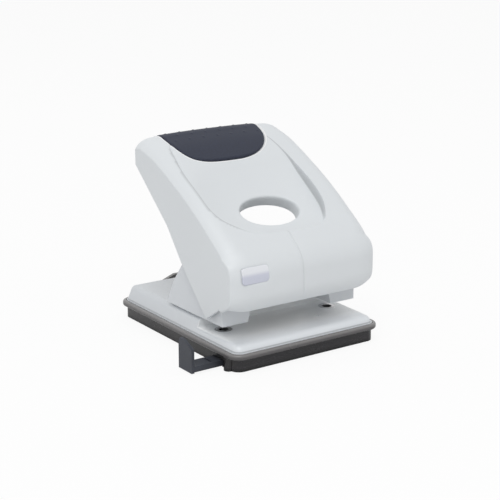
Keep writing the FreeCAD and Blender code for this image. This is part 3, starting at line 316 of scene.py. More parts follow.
paints = {
    # the cover's recess colour is painted shade and its grip-lip colour a painted highlight
    "cover": palePaint("coverPlastic", linear(223, 227, 230), marked=True),
    # the plate's greyer rear and its fold are painted shade, its bright deck front painted light
    "plate": palePaint("platePaint", linear(226, 230, 234), 0.3, linear(212, 216, 220), deck=deckLightAndFoldShade),
    "head": palePaint("headPaint", linear(219, 223, 227), 0.4),
    "smoke": smokePaint(),
    "guide": darkPaint("guidePlastic", linear(60, 63, 71), 0.45, 0.35),
    "grip": gripPaint(),
    "foot": darkPaint("padRubber", linear(36, 36, 38), 0.8, 0.3),
    "steel": metalPaint("toolSteel", (0.46, 0.46, 0.47), 0.3, 900),
    "zinc": metalPaint("platedSteel", (0.60, 0.59, 0.56), 0.38, 500),
    "badge": badgePaint(),
}
nodePaints = {
    "base_plate": "plate", "chip_tray": "smoke", "anti_slip_pads": "foot", "paper_guide": "guide",
    "punch_head_left": "head", "punch_head_right": "head", "die_bushing_left": "steel",
    "die_bushing_right": "steel", "punch_pin_left": "steel", "punch_pin_right": "steel",
    "spring_washer_left": "zinc", "spring_washer_right": "zinc", "pin_spring_left": "steel",
    "pin_spring_right": "steel", "head_rivets": "zinc", "frame_brace": "zinc", "pivot_shaft": "steel",
    "shaft_clips": "zinc", "press_lever": "zinc", "press_bar": "steel", "bar_clips": "zinc",
    "handle_cover": "cover", "cover_screws": "zinc", "grip_pad": "grip", "blank_badge": "badge",
}
bodyNames = {node: body for body, members in frame["record"]["behaviour"]["bodies"].items()
             for node in members}
for nodeName, paintName in nodePaints.items():
    cadObject = frame["nodes"][nodeName]
    material = paints[paintName].material
    if cadObject.material_slots:
        for materialSlot in cadObject.material_slots:
            materialSlot.material = material
    else:
        cadObject.data.materials.append(material)
print("materials assigned")

view = {
    "cameraPlace": (-0.46673, -0.67688, 0.28475),
    "cameraTurn": (74.23, 0.0, -34.76),
    "cameraAngle": 21.26,
    "worldStrength": 0.57,
    "floorTone": 0.92,
    "floorGlow": 0.9,  # what is left shows the shadow
    "floorHalf": 4.0,
    "floorHeight": -0.0002,
}
lamps = {
    "keyLamp": {"place": (-0.62, -0.75, 1.6), "aim": (0, 0, 0.05), "size": (1.1, 1.1), "watts": 13.0},
    "backLamp": {"place": (0.1, 1.0, 1.0), "aim": (0, 0, 0.06), "size": (1.2, 0.6), "watts": 1.0},
}


def linked(name, data):
    made = bpy.data.objects.new(name, data)
    bpy.context.scene.collection.objects.link(made)
    return made


def addCamera():
    data = bpy.data.cameras.new("camera")
    data.angle = math.radians(view["cameraAngle"])
    data.clip_start = 0.01
    data.clip_end = 20
    camera = linked("camera", data)
    camera.location = view["cameraPlace"]
    camera.rotation_euler = [math.radians(value) for value in view["cameraTurn"]]
    bpy.context.scene.camera = camera


# plain white where the camera, a reflection or glass sees it, dimmer as a light
def addWorld():
    world = bpy.data.worlds.new("studio")
    bpy.context.scene.world = world
    world.use_nodes = True
    graph = Graph(world.node_tree)
    light, plain = [graph.node("ShaderNodeBackground", None, {"Color": (*white, 1), "Strength": strength})
                    for strength in (view["worldStrength"], 1.0)]
    path = graph.node("ShaderNodeLightPath")
    seen = path.output("Is Camera Ray").larger(path.output("Is Glossy Ray"))
    graph.finish("World Output", seen.larger(path.output("Is Transmission Ray")), light, plain)


def addLamp(name, place, aim, size, watts):
    data = bpy.data.lights.new(name, "AREA")
    data.shape = "RECTANGLE"
    data.size, data.size_y = size
    data.energy = watts
    lamp = linked(name, data)
    lamp.location = place
    lamp.rotation_mode = "QUATERNION"
    lamp.rotation_quaternion = (Vector(aim) - Vector(place)).to_track_quat("-Z", "Y")


# a white floor that keeps the object's shadow
def addFloor():
    mesh = bpy.data.meshes.new("floor")
    form = bmesh.new()
    bmesh.ops.create_grid(form, x_segments=1, y_segments=1, size=view["floorHalf"])
    form.to_mesh(mesh)
    form.free()
    floor = linked("floor", mesh)
    floor.location = (0, 0, view["floorHeight"])
    paint = Paint("floorWhite", scaled(white, view["floorTone"]), 0.9)
    glow = paint.node("ShaderNodeEmission")
    path = paint.node("ShaderNodeLightPath", output="Is Camera Ray")
    paint.finish("Material Output", path * view["floorGlow"], Shade(paint, paint.shader), glow)
    mesh.materials.append(paint.material)


addCamera()
addWorld()
for lampName, lampSettings in lamps.items():
    addLamp(lampName, **lampSettings)
addFloor()
bpy.context.scene.view_settings.view_transform = "Standard"
print("stage ready")


# a mesh object from a bmesh, riding on its body, its edges kept sharp above an angle
def finishedObject(name, form, body, paint, smoothAngle=35.0):
    mesh = bpy.data.meshes.new(name)
    bmesh.ops.recalc_face_normals(form, faces=form.faces)
    for face in form.faces:
        face.smooth = True
    limit = math.radians(smoothAngle)
    for edge in form.edges:
        edge.smooth = len(edge.link_faces) == 2 and edge.calc_face_angle(0) < limit
    form.to_mesh(mesh)
    form.free()
    made = linked(name, mesh)
    mesh.materials.append(paints[paint].material)
    if body:
        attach(made, body)
    return made


# a CAD node's mesh with its loose triangles merged
def mergedCopy(node):
    form = bmesh.new()
    form.from_mesh(frame["nodes"][node].data)
    bmesh.ops.remove_doubles(form, verts=form.verts, dist=0.002 * mm)
    return form


handle = {
    "halfWidth": 54.0,
    "border": 49.4,  # where the panel's grid ends and the cheeks' edge strips begin
    "wall": 2.4,
    # the side outline as rounded corners: y, z, radius
    "corners": {
        "tail": (50.7, 111.5, 0.0), "crown": (51.5, 131.5, 10.0), "upper": (25.3, 121.3, 110.0),
        "middle": (-21.5, 97.1, 250.0), "lower": (-53.0, 75.0, 100.0), "nose": (-65.0, 64.2, 19.0),
        "chin": (-65.0, 32.8, 17.0), "heel": (-35.5, 26.3, 0.0),
    },
    "noseTop": 75.0,
    "chinEnd": (-51.6, 29.85),
    "rearEdge": ((-35.5, 26.3), (-30.5, 31.5), (-8.3, 54.7), (8.0, 75.0)),
    "lipHeight": 35.4,
    "tightRadius": 0.9,
    "tightStrips": 4,
    "shoulder": {"radius": 14.0, "turn": 50.0, "strips": 6},
    "noseCrown": {"radius": 34.0, "turn": 24.0, "reach": (-64.0, -54.0)},
    "cheekDepth": 0.8,
    "cheekSkew": 36.5 / 42.7,
    "grid": {"step": 1.5, "apart": 0.55, "rimWidth": 0.15},
    "row": {"most": 1.5, "least": 0.55, "turn": 0.14, "start": 0.05, "ahead": 2.0, "endGap": 0.3},
}
rearCorners = {"halfWidth": 47.0, "drop": 1.3, "power": 2.5, "fall": 1.7,
               "dropReach": (0, 45), "fallReach": (15, 45), "tailReach": (0, 22)}


def ease(low, high, value):
    share = np.clip((np.asarray(value, float) - low) / (high - low), 0, 1)
    return share * share * (3 - 2 * share)


# a ridge of height 1 where the distance is middle
def ridge(distance, middle, width):
    return np.exp(-((distance - middle) / width) ** 2)


# points along a polyline whose corners are rounded: (y, z, radius) each
def roundedPath(corners, step=0.25):
    points = [np.array(corners[0][:2], float)]
    for before, here, after in zip(corners, corners[1:], corners[2:]):
        corner = np.array(here[:2], float)
        back = np.array(before[:2], float) - corner
        ahead = np.array(after[:2], float) - corner
        back /= norm(back)
        ahead /= norm(ahead)
        half = math.acos(np.clip(back @ ahead, -1, 1)) / 2
        reach = here[2] / math.tan(half)
        middle = corner + (back + ahead) / norm(back + ahead) * here[2] / math.sin(half)
        start = corner + back * reach - middle
        end = corner + ahead * reach - middle
        turn = math.pi - 2 * half
        sign = math.copysign(1, start[0] * end[1] - start[1] * end[0])
        count = max(4, int(here[2] * turn / step))
        for share in np.linspace(0, 1, count + 1):
            angle = sign * turn * share
            points.append(middle + np.array([
                start[0] * math.cos(angle) - start[1] * math.sin(angle),
                start[0] * math.sin(angle) + start[1] * math.cos(angle)]))
    points.append(np.array(corners[-1][:2], float))
    dense = [points[0]]
    for start, end in zip(points, points[1:]):
        count = max(1, int(norm(end - start) / step))
        dense += [start + (end - start) * share for share in np.linspace(0, 1, count + 1)[1:]]
    return np.array(dense)


# the handle's outside, addressed by the distance round its side outline (the station) and by x
class Skin:
    def __init__(self):
        self.points = roundedPath(list(handle["corners"].values()))
        runs = norm(np.diff(self.points, axis=0), axis=1)
        self.points = self.points[np.concatenate([[True], runs > 1e-6])]
        runs = norm(np.diff(self.points, axis=0), axis=1)
        self.lengths = np.concatenate([[0], np.cumsum(runs)])
        tangents = np.gradient(self.points, self.lengths, axis=0)
        kernel = np.ones(5) / 5
        for axis in range(2):
            padded = np.pad(tangents[:, axis], 2, mode="edge")
            tangents[:, axis] = np.convolve(padded, kernel, mode="valid")
        tangents /= norm(tangents, axis=1)[:, None]
        self.normals = np.stack([tangents[:, 1], -tangents[:, 0]], axis=1)
        if self.normals[len(self.normals) // 2][1] < 0:
            self.normals = -self.normals
        y, z = self.points[:, 0], self.points[:, 1]
        self.top = int(np.argmin(np.abs(z - handle["noseTop"]) + 100 * (y > 0)))
        self.rear = int(np.argmax(y))

    def profile(self, station):
        return [np.interp(station, self.lengths, self.points[:, axis]) for axis in range(2)]

    def outward(self, station):
        y, z = [np.interp(station, self.lengths, self.normals[:, axis]) for axis in range(2)]
        size = np.hypot(y, z)
        return y / size, z / size

    # the station on the long front panel that lies at y
    def stationAtY(self, y):
        span = slice(self.rear, self.top + 40)
        return np.interp(-np.asarray(y, float), -self.points[span, 0], self.lengths[span])

    # the station on the nose that lies at height z
    def stationAtZ(self, z):
        span = slice(self.top - 60, len(self.points))
        return np.interp(-np.asarray(z, float), -self.points[span, 1], self.lengths[span])

    # how far the rear top corners fall away below the middle
    def drop(self, station, x):
        y, _ = self.profile(station)
        amount = rearCorners["drop"] * (np.abs(x) / rearCorners["halfWidth"]) ** rearCorners["power"]
        fall = rearCorners["fall"] * ease(*rearCorners["fallReach"], y)
        total = amount * ease(*rearCorners["dropReach"], y) + fall
        return total * ease(*rearCorners["tailReach"], station)

    # points a height above the skin, in metres
    def place(self, station, x, height=0.0):
        station, x, height = np.broadcast_arrays(
            np.asarray(station, float), np.asarray(x, float), np.asarray(height, float))
        y, z = self.profile(station)
        ny, nz = self.outward(station)
        return np.stack([x, y + ny * height, z + nz * height - self.drop(station, x)], axis=-1) * mm


skin = Skin()


# distance of (station, x) points inside a closed outline, negative outside
def signedDistance(points, outline):
    run = np.roll(outline, -1, axis=0) - outline
    length = np.maximum((run ** 2).sum(axis=1), 1e-12)
    result = np.empty(len(points))
    for low in range(0, len(points), 2000):
        part = points[low:low + 2000]
        offset = part[:, None] - outline
        share = np.clip((offset * run).sum(axis=2) / length, 0, 1)
        gap = offset - share[..., None] * run
        nearest = np.sqrt((gap ** 2).sum(axis=2).min(axis=1))
        x0, x1 = outline[:, 1], outline[:, 1] + run[:, 1]
        crosses = (x0 > part[:, 1:2]) != (x1 > part[:, 1:2])
        level = np.where(np.abs(run[:, 1]) < 1e-12, 1e-12, run[:, 1])
        where = outline[:, 0] + (part[:, 1:2] - x0) / level * run[:, 0]
        inside = (crosses & (part[:, 0:1] < where)).sum(axis=1) % 2 == 1
        result[low:low + 2000] = np.where(inside, nearest, -nearest)
    return result


outlineStep = 0.5


# a smooth curve through points
def curvedThrough(points):
    points = np.array(points, float)
    padded = np.vstack([2 * points[0] - points[1], points, 2 * points[-1] - points[-2]])
    result = []
    for index in range(1, len(padded) - 2):
        before, start, end, after = padded[index - 1:index + 3]
        count = max(2, int(norm(end - start) / outlineStep))
        for share in np.linspace(0, 1, count, endpoint=False):
            result.append(0.5 * (2 * start + (end - before) * share
                                 + (2 * before - 5 * start + 4 * end - after) * share ** 2
                                 + (3 * start - before - 3 * end + after) * share ** 3))
    result.append(points[-1])
    return np.array(result)


# a closed loop with even spacing
def resampled(loop, step):
    closed = np.vstack([loop, loop[:1]])
    lengths = np.concatenate([[0], np.cumsum(norm(np.diff(closed, axis=0), axis=1))])
    count = max(8, int(lengths[-1] / step))
    marks = np.linspace(0, lengths[-1], count, endpoint=False)
    return np.stack([np.interp(marks, lengths, closed[:, axis]) for axis in range(2)], axis=1)


# a closed loop moved outwards by an amount
def grown(loop, amount):
    run = np.roll(loop, -1, axis=0) - np.roll(loop, 1, axis=0)
    run /= norm(run, axis=1)[:, None]
    normal = np.stack([run[:, 1], -run[:, 0]], axis=1)
    area = np.sum(loop[:, 0] * np.roll(loop[:, 1], -1) - np.roll(loop[:, 0], -1) * loop[:, 1])
    return loop + normal * amount * math.copysign(1, area)


# closed rings round a loop, one for each amount outwards
def ringsRound(loop, amounts, step):
    dense = resampled(loop, step)
    return [(resampled(grown(dense, amount), step), True) for amount in amounts]


dish = {
    "centre": (-19.0, 95.75), "slope": 31.0, "curve": 193.0,
    # the floor's depth along its middle: distance up the slope, height
    "floor": ((-36.2, 0.3), (-30.0, -3.0), (-20.0, -5.6), (-10.0, -6.2), (0.0, -6.0), (12.0, -4.6),
              (24.0, -1.8), (31.5, 0.7)),
    # the rim in plan, from the top down: x, y
    "right": ((18.0, 29.0), (27.5, 29.0), (32.2, 25.0), (34.4, 15.4), (35.5, 7.0), (35.8, -5.0),
              (36.3, -15.0), (36.2, -26.0), (34.8, -34.6), (31.9, -41.0), (28.0, -46.0), (22.5, -49.0),
              (8.0, -51.0)),
    "left": ((-18.0, 29.0), (-36.0, 29.0), (-41.0, 24.0), (-43.9, 12.0), (-45.3, 4.0), (-46.0, -6.0),
             (-46.1, -17.0), (-45.9, -27.0), (-44.0, -34.0), (-39.5, -39.5), (-31.0, -45.5),
             (-22.0, -49.2), (-8.0, -51.0)),
    "wallWidth": 0.6, "shrink": 0.92, "shrinkWidth": 16,
    "ledge": 1.15, "softness": 0.9,
    "fade": {"low": (-46, -40), "high": (36, 42)},
    "ledgeFade": {"low": (-40, -30), "high": (20, 44)},
    "fold": {"depth": 0.5, "at": 0.35, "width": 0.38, "reach": (-44, -36)},
}
hole = {"halfWidth": 21.0, "halfHeight": 13.2, "centre": (-26.1, 84.3), "slope": 29.0, "lip": 1.3,
             "depth": 5.6, "firstDepth": 1.2, "lastDepth": 0.6}
grip = {
    "centre": (-1.7, 46.0), "halfWidth": 36.9, "reach": 38.6, "rear": 47.5, "overrun": 2.2,
    "leftPower": 4.4, "rightPower": 2.45,
    "plate": {"gap": 0.25, "proud": 0.5, "skirt": 1.1, "edgeRound": 1.1, "step": 1.6},
    "bead": {"height": 0.35, "at": 0.95, "width": 0.5},
    "groove": {"depth": 0.7, "at": 0.1, "width": 0.42},
    "seat": {"depth": 0.35, "reach": (0.2, 1.0)},
    "dots": {"pitch": 10.5, "rowPitch": 0.62, "rows": 3, "start": 5.0, "shift": -1.5, "clear": 3.2,
             "radius": 1.3, "height": 0.3},
}
badge = {
    "left": -47.3, "right": -28.2, "low": 53.2, "high": 63.4, "corner": 2.2,
    "plate": {"gap": 0.12, "proud": 0.22, "skirt": 0.6, "edgeRound": 0.35, "step": 1.4},
    "groove": {"depth": 0.35, "at": 0.05, "width": 0.3},
}
seam = {
    "heights": (35, 75), "x": (-2.0, -3.4), "lowFade": (38, 44), "backFade": (-46, -50), "line": (40, 77),
    "depth": 0.3, "width": 0.35, "step": 0.18, "stepReach": (0.4, 10), "stepFade": (30, 48),
}


# the dish's closed rim in (station, x)
def dishOutline():
    curve = np.vstack([curvedThrough(dish["right"]), curvedThrough(dish["left"])[::-1]])
    return resampled(np.stack([skin.stationAtY(curve[:, 1]), curve[:, 0]], axis=1), outlineStep)


# the grip's closed outline in (station, x): half superellipses of different powers, cut at the rear
def gripOutline():
    angles = np.radians(np.linspace(-grip["overrun"], 180 + grip["overrun"], 400))
    cosine, sine = np.cos(angles), np.sin(angles)
    power = np.where(cosine > 0, grip["rightPower"], grip["leftPower"])
    x = grip["centre"][0] + grip["halfWidth"] * np.sign(cosine) * np.abs(cosine) ** (2 / power)
    y = grip["centre"][1] - grip["reach"] * np.sign(sine) * np.abs(sine) ** (2 / power)
    return resampled(np.stack([skin.stationAtY(np.minimum(y, grip["rear"])), x], axis=1), outlineStep)


# the badge's closed outline in (station, x), a rectangle with round corners
def badgeOutline():
    low, high = float(skin.stationAtZ(badge["high"])), float(skin.stationAtZ(badge["low"]))
    left, right, corner = badge["left"], badge["right"], badge["corner"]
    points = []
    for station, x, start in ((high - corner, right - corner, 0), (low + corner, right - corner, 90),
                              (low + corner, left + corner, 180), (high - corner, left + corner, 270)):
        for angle in np.radians(np.linspace(start, start + 90, 9)):
            points.append((station + corner * math.cos(angle), x + corner * math.sin(angle)))
    return resampled(np.array(points), outlineStep)


dishLoop = dishOutline()
gripLoop = gripOutline()
badgeLoop = badgeOutline()
floorFit = np.polyfit([u for u, v in dish["floor"]], [v for u, v in dish["floor"]], 5)


def fade(settings, value):
    return ease(*settings["low"], value) * (1 - ease(*settings["high"], value))


# how far the dish is pressed in at (station, x) points
def dishDepth(points):
    station, x = points[:, 0], points[:, 1]
    y, z = skin.profile(station)
    slope = math.radians(dish["slope"])
    y, z = y - dish["centre"][0], z - dish["centre"][1]
    u = y * math.cos(slope) + z * math.sin(slope)
    v = z * math.cos(slope) - y * math.sin(slope)
    reach = np.clip(u, dish["floor"][0][0] - 4, dish["floor"][-1][0] + 4)
    rho = dish["curve"] - np.polyval(floorFit, reach)
    depth = v - (dish["curve"] - np.sqrt(rho ** 2 - x ** 2))
    soft = dish["softness"]
    depth = soft * np.logaddexp(0, depth / soft) * fade(dish["fade"], u)
    depth += dish["ledge"] * fade(dish["ledgeFade"], u)
    inside = signedDistance(points, dishLoop)
    slack = dish["shrink"] + (1 - dish["shrink"]) * ease(0, dish["shrinkWidth"], inside)
    return depth * ease(0, dish["wallWidth"], inside) * slack


# the thumb hole's centre, its direction up the slope and its direction out
def holeFrame():
    slope = math.radians(hole["slope"])
    along = np.array([0, math.cos(slope), math.sin(slope)])
    outward = np.array([0, -math.sin(slope), math.cos(slope)])
    return np.array([0, *hole["centre"]], float), along, outward


# the broad rounding between panel and cheek: where it starts, its radius and its turn
def edgeProfile(station):
    y, _ = skin.profile(station)
    side, nose = handle["shoulder"], handle["noseCrown"]
    share = 1 - ease(*nose["reach"], y)
    turn = np.radians(side["turn"] + (nose["turn"] - side["turn"]) * share)
    broad = side["radius"] + (nose["radius"] - side["radius"]) * share
    start = handle["halfWidth"] - handle["tightRadius"] * (1 - np.sin(turn)) - broad * np.sin(turn)
    return start, broad, turn


# how far the panel falls away towards the cheeks
def edgeFall(station, x):
    start, broad, turn = edgeProfile(station)
    reach = np.clip(np.abs(x) - start, 0, broad * np.sin(turn))
    return broad - np.sqrt(broad ** 2 - reach ** 2)


def seamX(z):
    return np.interp(z, seam["heights"], seam["x"])


# the skin's height at (station, x) points, with its dish, grooves, beads and mould line
def pressed(points):
    station, x = points[:, 0], points[:, 1]
    y, z = skin.profile(station)
    height = -dishDepth(points) - edgeFall(station, x)
    fold = dish["fold"]
    leftFold = ridge(signedDistance(points, dishLoop), fold["at"], fold["width"]) * (x < 0)
    height -= fold["depth"] * leftFold * ease(*fold["reach"], y)
    gap = signedDistance(points, gripLoop)
    bead, groove, seat = grip["bead"], grip["groove"], grip["seat"]
    height += bead["height"] * ridge(np.clip(-gap, 0, None), bead["at"], bead["width"]) * (gap < 0)
    height -= groove["depth"] * ridge(gap, groove["at"], groove["width"])
    height -= seat["depth"] * ease(*seat["reach"], gap)
    groove = badge["groove"]
    height -= groove["depth"] * ridge(signedDistance(points, badgeLoop), groove["at"], groove["width"])
    onNose = ease(*seam["backFade"], y) * ease(*seam["lowFade"], z)
    aside = seamX(z) - x
    height -= seam["depth"] * onNose * ridge(aside, 0, seam["width"])
    raised = ease(*seam["stepReach"], aside) * (1 - ease(*seam["stepFade"], -x))
    return height + seam["step"] * onNose * raised


# where the cover gets painted shade and a painted highlight
marks = {
    "across": (-10, 20),  # x from where only the line shows to where only the wall does
    "wallIn": (-0.05, 0.12), "wallOut": (0.62, 0.95), "wallDeep": (0.1, 0.5), "wallLeast": 0.55,
    "line": 0.85, "lineAt": -0.3, "lineWidth": 0.45,
    "reach": {"low": (-49, -40), "high": (20, 27)},
    "mould": 0.35, "mouldAt": 0.2, "mouldWidth": 0.4,
    # the painted highlight round the grip's lip
    "paintedHighlight": 0.9, "highlightIn": (0.05, 0.35), "highlightOut": (0.9, 1.5),
}


# painted shade in the skin's dish walls, folds and mould line, and a painted highlight on its lip round the grip
def paintedShadeAndHighlight(points):
    x = points[:, 1]
    y, z = skin.profile(points[:, 0])
    gap = signedDistance(points, dishLoop)
    across = ease(*marks["across"], x)
    deep = marks["wallLeast"] + (1 - marks["wallLeast"]) * ease(*marks["wallDeep"], gap)
    # painted shade on the dish's wall, and as a thin line along its left rim
    wall = ease(*marks["wallIn"], gap) * (1 - ease(*marks["wallOut"], gap)) * deep
    line = marks["line"] * ridge(gap, marks["lineAt"], marks["lineWidth"])
    rim = (wall * across + line * (1 - across)) * fade(marks["reach"], y)
    onNose = ease(*seam["backFade"], y) * ease(*seam["lowFade"], z)
    # painted shade along the mould line
    mould = marks["mould"] * onNose * ridge(x - seamX(z), marks["mouldAt"], marks["mouldWidth"])
    # painted highlight on the lip round the grip
    outside = -signedDistance(points, gripLoop)
    lip = ease(*marks["highlightIn"], outside) * (1 - ease(*marks["highlightOut"], outside))
    return {"paintedRecessShade": np.maximum(rim, mould), "paintedHighlight": marks["paintedHighlight"] * lip}


# how far up the slope from the thumb hole's centre (station, x) points lie
def upTheSlope(station, x):
    points = np.stack([station, x], axis=1)
    centre, along, _ = holeFrame()
    return (skin.place(station, x, -dishDepth(points)) / mm - centre) @ along


# distance of (station, x) points from the thumb hole's edge, positive outside it
def fromHole(points):
    x = points[:, 1]
    u = upTheSlope(points[:, 0], x)
    share = np.hypot(x / hole["halfWidth"], u / hole["halfHeight"])
    angle = np.arctan2(u / hole["halfHeight"], x / hole["halfWidth"])
    radius = np.hypot(hole["halfWidth"] * np.cos(angle), hole["halfHeight"] * np.sin(angle))
    return (share - 1) * radius


# the (station, x) loop that lies a margin outside the thumb hole's edge
def holeRing(margin, count=150):
    angles = np.linspace(0, 2 * math.pi, count, endpoint=False)
    x = (hole["halfWidth"] + margin) * np.cos(angles)
    u = (hole["halfHeight"] + margin) * np.sin(angles)
    centre, along, _ = holeFrame()
    station = skin.stationAtY(centre[1] + u * along[1])
    for _ in range(12):  # each round brings the points nearer to their height on the slope
        station = station + (upTheSlope(station, x) - u) * 0.9
    return np.stack([station, x], axis=1)


# triangles in (station, x) that keep every ring's edges, from rings and loose points
def triangulated(rings, loose, inside):
    points, edges = [], []
    for ring, closed in rings:
        first = len(points)
        points += [tuple(point) for point in ring]
        count = len(ring)
        edges += [(first + i, first + (i + 1) % count) for i in range(count if closed else count - 1)]
    points += [tuple(point) for point in loose]
    vertices, _, faces, _, _, _ = delaunay_2d_cdt([Vector(point) for point in points], edges, [], 0, 1e-5)
    vertices = np.array([tuple(vertex) for vertex in vertices])
    centres = np.array([vertices[list(face)].mean(axis=0) for face in faces])
    return vertices, [tuple(face) for face, keep in zip(faces, inside(centres)) if keep]


# the points that lie at least a gap from every ring's points
def apartFrom(points, rings, gap):
    tree = KDTree(sum(len(ring) for ring, _ in rings))
    for number, point in enumerate(point for ring, _ in rings for point in ring):
        tree.insert((*point, 0), number)
    tree.balance()
    return np.array([point for point in points if tree.find((*point, 0))[2] > gap])


def newVerts(form, places):
    return [form.verts.new(place) for place in places]


# extrudes the open edges, and hands back what was made
def pulledRim(form, rim):
    made = bmesh.ops.extrude_edge_only(form, edges=rim)["geom"]
    fresh = {item for item in made if isinstance(item, bmesh.types.BMVert)}
    edges = [item for item in made if isinstance(item, bmesh.types.BMEdge) and set(item.verts) <= fresh]
    return fresh, edges


# stations along the skin, closer together where it bends sharply, one of them at the front lip
def coverRows():
    row, end = handle["row"], skin.lengths[-1]
    lip = float(skin.stationAtZ(handle["lipHeight"]))
    stations = [0.0]
    while stations[-1] < end - 0.4:
        here = stations[-1]
        first = np.array(skin.outward(here + row["start"]))
        second = np.array(skin.outward(min(end, here + row["ahead"])))
        bend = math.acos(float(np.clip(first @ second, -1, 1)))
        stations.append(here + float(np.clip(row["turn"] / max(bend, 1e-3), row["least"], row["most"])))
    chinEnd = float(end - math.dist(handle["corners"]["heel"][:2], handle["chinEnd"]))
    rows = np.array(stations)
    rows = rows[rows < chinEnd - row["endGap"]]
    rows[np.argmin(np.abs(rows - lip))] = lip
    return np.append(rows, chinEnd), lip


# margins of the rings that hold each shape's edge, and the rings' point spacing
coverRings = {
    "hole": (0.0, 0.3, 0.7, 1.3, 2.2),
    "dish": ((0.4, 0.1, -0.1, -0.3, -0.5, -0.75, -1.2), 0.7),
    "grip": ((2.2, 1.5, 1.1, 0.75, 0.4, 0.1, -0.2, -0.5, -1.0), 0.8),
    "badge": ((0.5, 0.2, -0.05, -0.3, -0.8), 0.6),
    "mould": (-0.7, -0.3, 0.0, 0.3, 0.7),
}


def coverPanel(form, rows):
    border = handle["border"]
    across = np.linspace(-border, border, int(2 * border / handle["grid"]["step"]) + 1)
    frameLoop = np.array([(row, border) for row in rows] + [(rows[-1], x) for x in across[-2:0:-1]]
                         + [(row, -border) for row in rows[::-1]] + [(rows[0], x) for x in across[1:-1]])
    lineHeights = np.linspace(*seam["line"], 40)
    line = np.stack([skin.stationAtZ(lineHeights), seamX(lineHeights)], axis=1)
    rings = [(frameLoop, True)] + [(holeRing(margin), True) for margin in coverRings["hole"]]
    for loop, name in ((dishLoop, "dish"), (gripLoop, "grip"), (badgeLoop, "badge")):
        rings += ringsRound(loop, *coverRings[name])
    rings += [(line + np.array([0, shift]), False) for shift in coverRings["mould"]]
    rings = [(np.clip(ring, (rows[0], -border), (rows[-1], border)), closed) for ring, closed in rings]
    grid = np.array([(station, x) for station in rows[1:-1] for x in across[1:-1]])
    loose = apartFrom(grid, rings, handle["grid"]["apart"])
    flat, faces = triangulated(rings, loose, lambda centres: fromHole(centres) > -0.02)
    margins = fromHole(flat)
    lip = hole["lip"]
    inward = np.clip(lip - np.clip(margins, 0, None), 0, lip)
    height = pressed(flat) - (lip - np.sqrt(lip ** 2 - inward ** 2))
    newVerts(form, skin.place(flat[:, 0], flat[:, 1], height))
    # vertex layers holding the painted shade and the painted highlight
    for layerName, values in paintedShadeAndHighlight(flat).items():
        layer = form.verts.layers.float.new(layerName)
        form.verts.ensure_lookup_table()
        for vert, value in zip(form.verts, values):
            vert[layer] = float(value)
    verts = form.verts[:]
    for face in faces:
        form.faces.new([verts[index] for index in face])
    # the collar round the thumb hole
    form.verts.index_update()
    rim = [edge for edge in form.edges if len(edge.link_faces) == 1
           and all(margins[vert.index] < handle["grid"]["rimWidth"] for vert in edge.verts)
           and abs(flat[edge.verts[0].index][1]) < border - 1]
    _, _, normal = holeFrame()
    first, last = hole["firstDepth"], hole["lastDepth"]
    for depth in (first, hole["depth"] - first, last):
        fresh, rim = pulledRim(form, rim)
        bmesh.ops.translate(form, verts=list(fresh), vec=Vector(-normal * depth * mm))


# the broad and tight edges into a flat cheek, and the cheek itself down to its rear edge
def addCheek(form, rows, lip, side):
    halfWidth, border, tight = handle["halfWidth"], handle["border"], handle["tightRadius"]
    start, broad, turn = edgeProfile(rows)
    firstTurn = np.arcsin((border - start) / broad)
    broadEnd, broadDepth = start + broad * np.sin(turn), broad * (1 - np.cos(turn))
    strips = []
    for share in np.linspace(0, 1, handle["shoulder"]["strips"] + 1):
        here = firstTurn + (turn - firstTurn) * share
        strips.append((start + broad * np.sin(here), broad * (1 - np.cos(here))))
    for share in np.linspace(0, 1, handle["tightStrips"] + 1)[1:]:
        here = turn + (math.pi / 2 - turn) * share
        strips.append((broadEnd + tight * (np.sin(here) - np.sin(turn)),
                       broadDepth + tight * (np.cos(turn) - np.cos(here))))
    strips.append((np.full(len(rows), halfWidth), broadDepth + tight * np.cos(turn) + handle["cheekDepth"]))
    columns = []
    for x, depth in strips:
        place = skin.place(rows, side * x, -depth)
        place[0][2] -= handle["cheekSkew"] * depth[0] * mm
        columns.append(newVerts(form, place))
    for first, second in zip(columns, columns[1:]):
        for index in range(len(rows) - 1):
            x = abs(first[index].co.x + second[index].co.x) / 2 / mm
            # below the lip only the cheek's own wall goes on
            if rows[index] < lip - 1e-6 or x > halfWidth - handle["cheekDepth"]:
                form.faces.new([first[index], first[index + 1], second[index + 1], second[index]])
    rear = newVerts(form, [(side * halfWidth * mm, y * mm, z * mm) for y, z in handle["rearEdge"]])
    form.faces.new(columns[-1] + rear)


def handleCover():
    rows, lip = coverRows()
    form = bmesh.new()
    coverPanel(form, rows[rows <= lip + 1e-6])
    for side in (-1, 1):
        addCheek(form, rows, lip, side)
    bmesh.ops.remove_doubles(form, verts=form.verts, dist=0.03 * mm)
    bmesh.ops.recalc_face_normals(form, faces=form.faces)
    mesh = bpy.data.meshes.new("handleSkin")
    form.to_mesh(mesh)
    form.free()
    return thickened(mesh, handle["wall"])


# the mesh as a wall of even thickness, grown inwards
def thickened(mesh, wall):
    helper = linked("helper", mesh)
    solidify = helper.modifiers.new("wall", "SOLIDIFY")
    solidify.thickness = wall * mm
    solidify.offset = -1
    solidify.use_even_offset = False
    graph = bpy.context.evaluated_depsgraph_get()
    result = bpy.data.meshes.new_from_object(helper.evaluated_get(graph))
    bpy.data.objects.remove(helper)
    form = bmesh.new()
    form.from_mesh(result)
    return form


inlayMesh = {"edgeTurns": (25, 50, 70, 90), "ringStep": 0.8, "innerRing": 0.7, "gridMargin": 1.0,
             "ringGap": 0.3, "domeRings": (0.35, 0.7, 1.0), "domePoints": 12, "domeGap": 0.45}


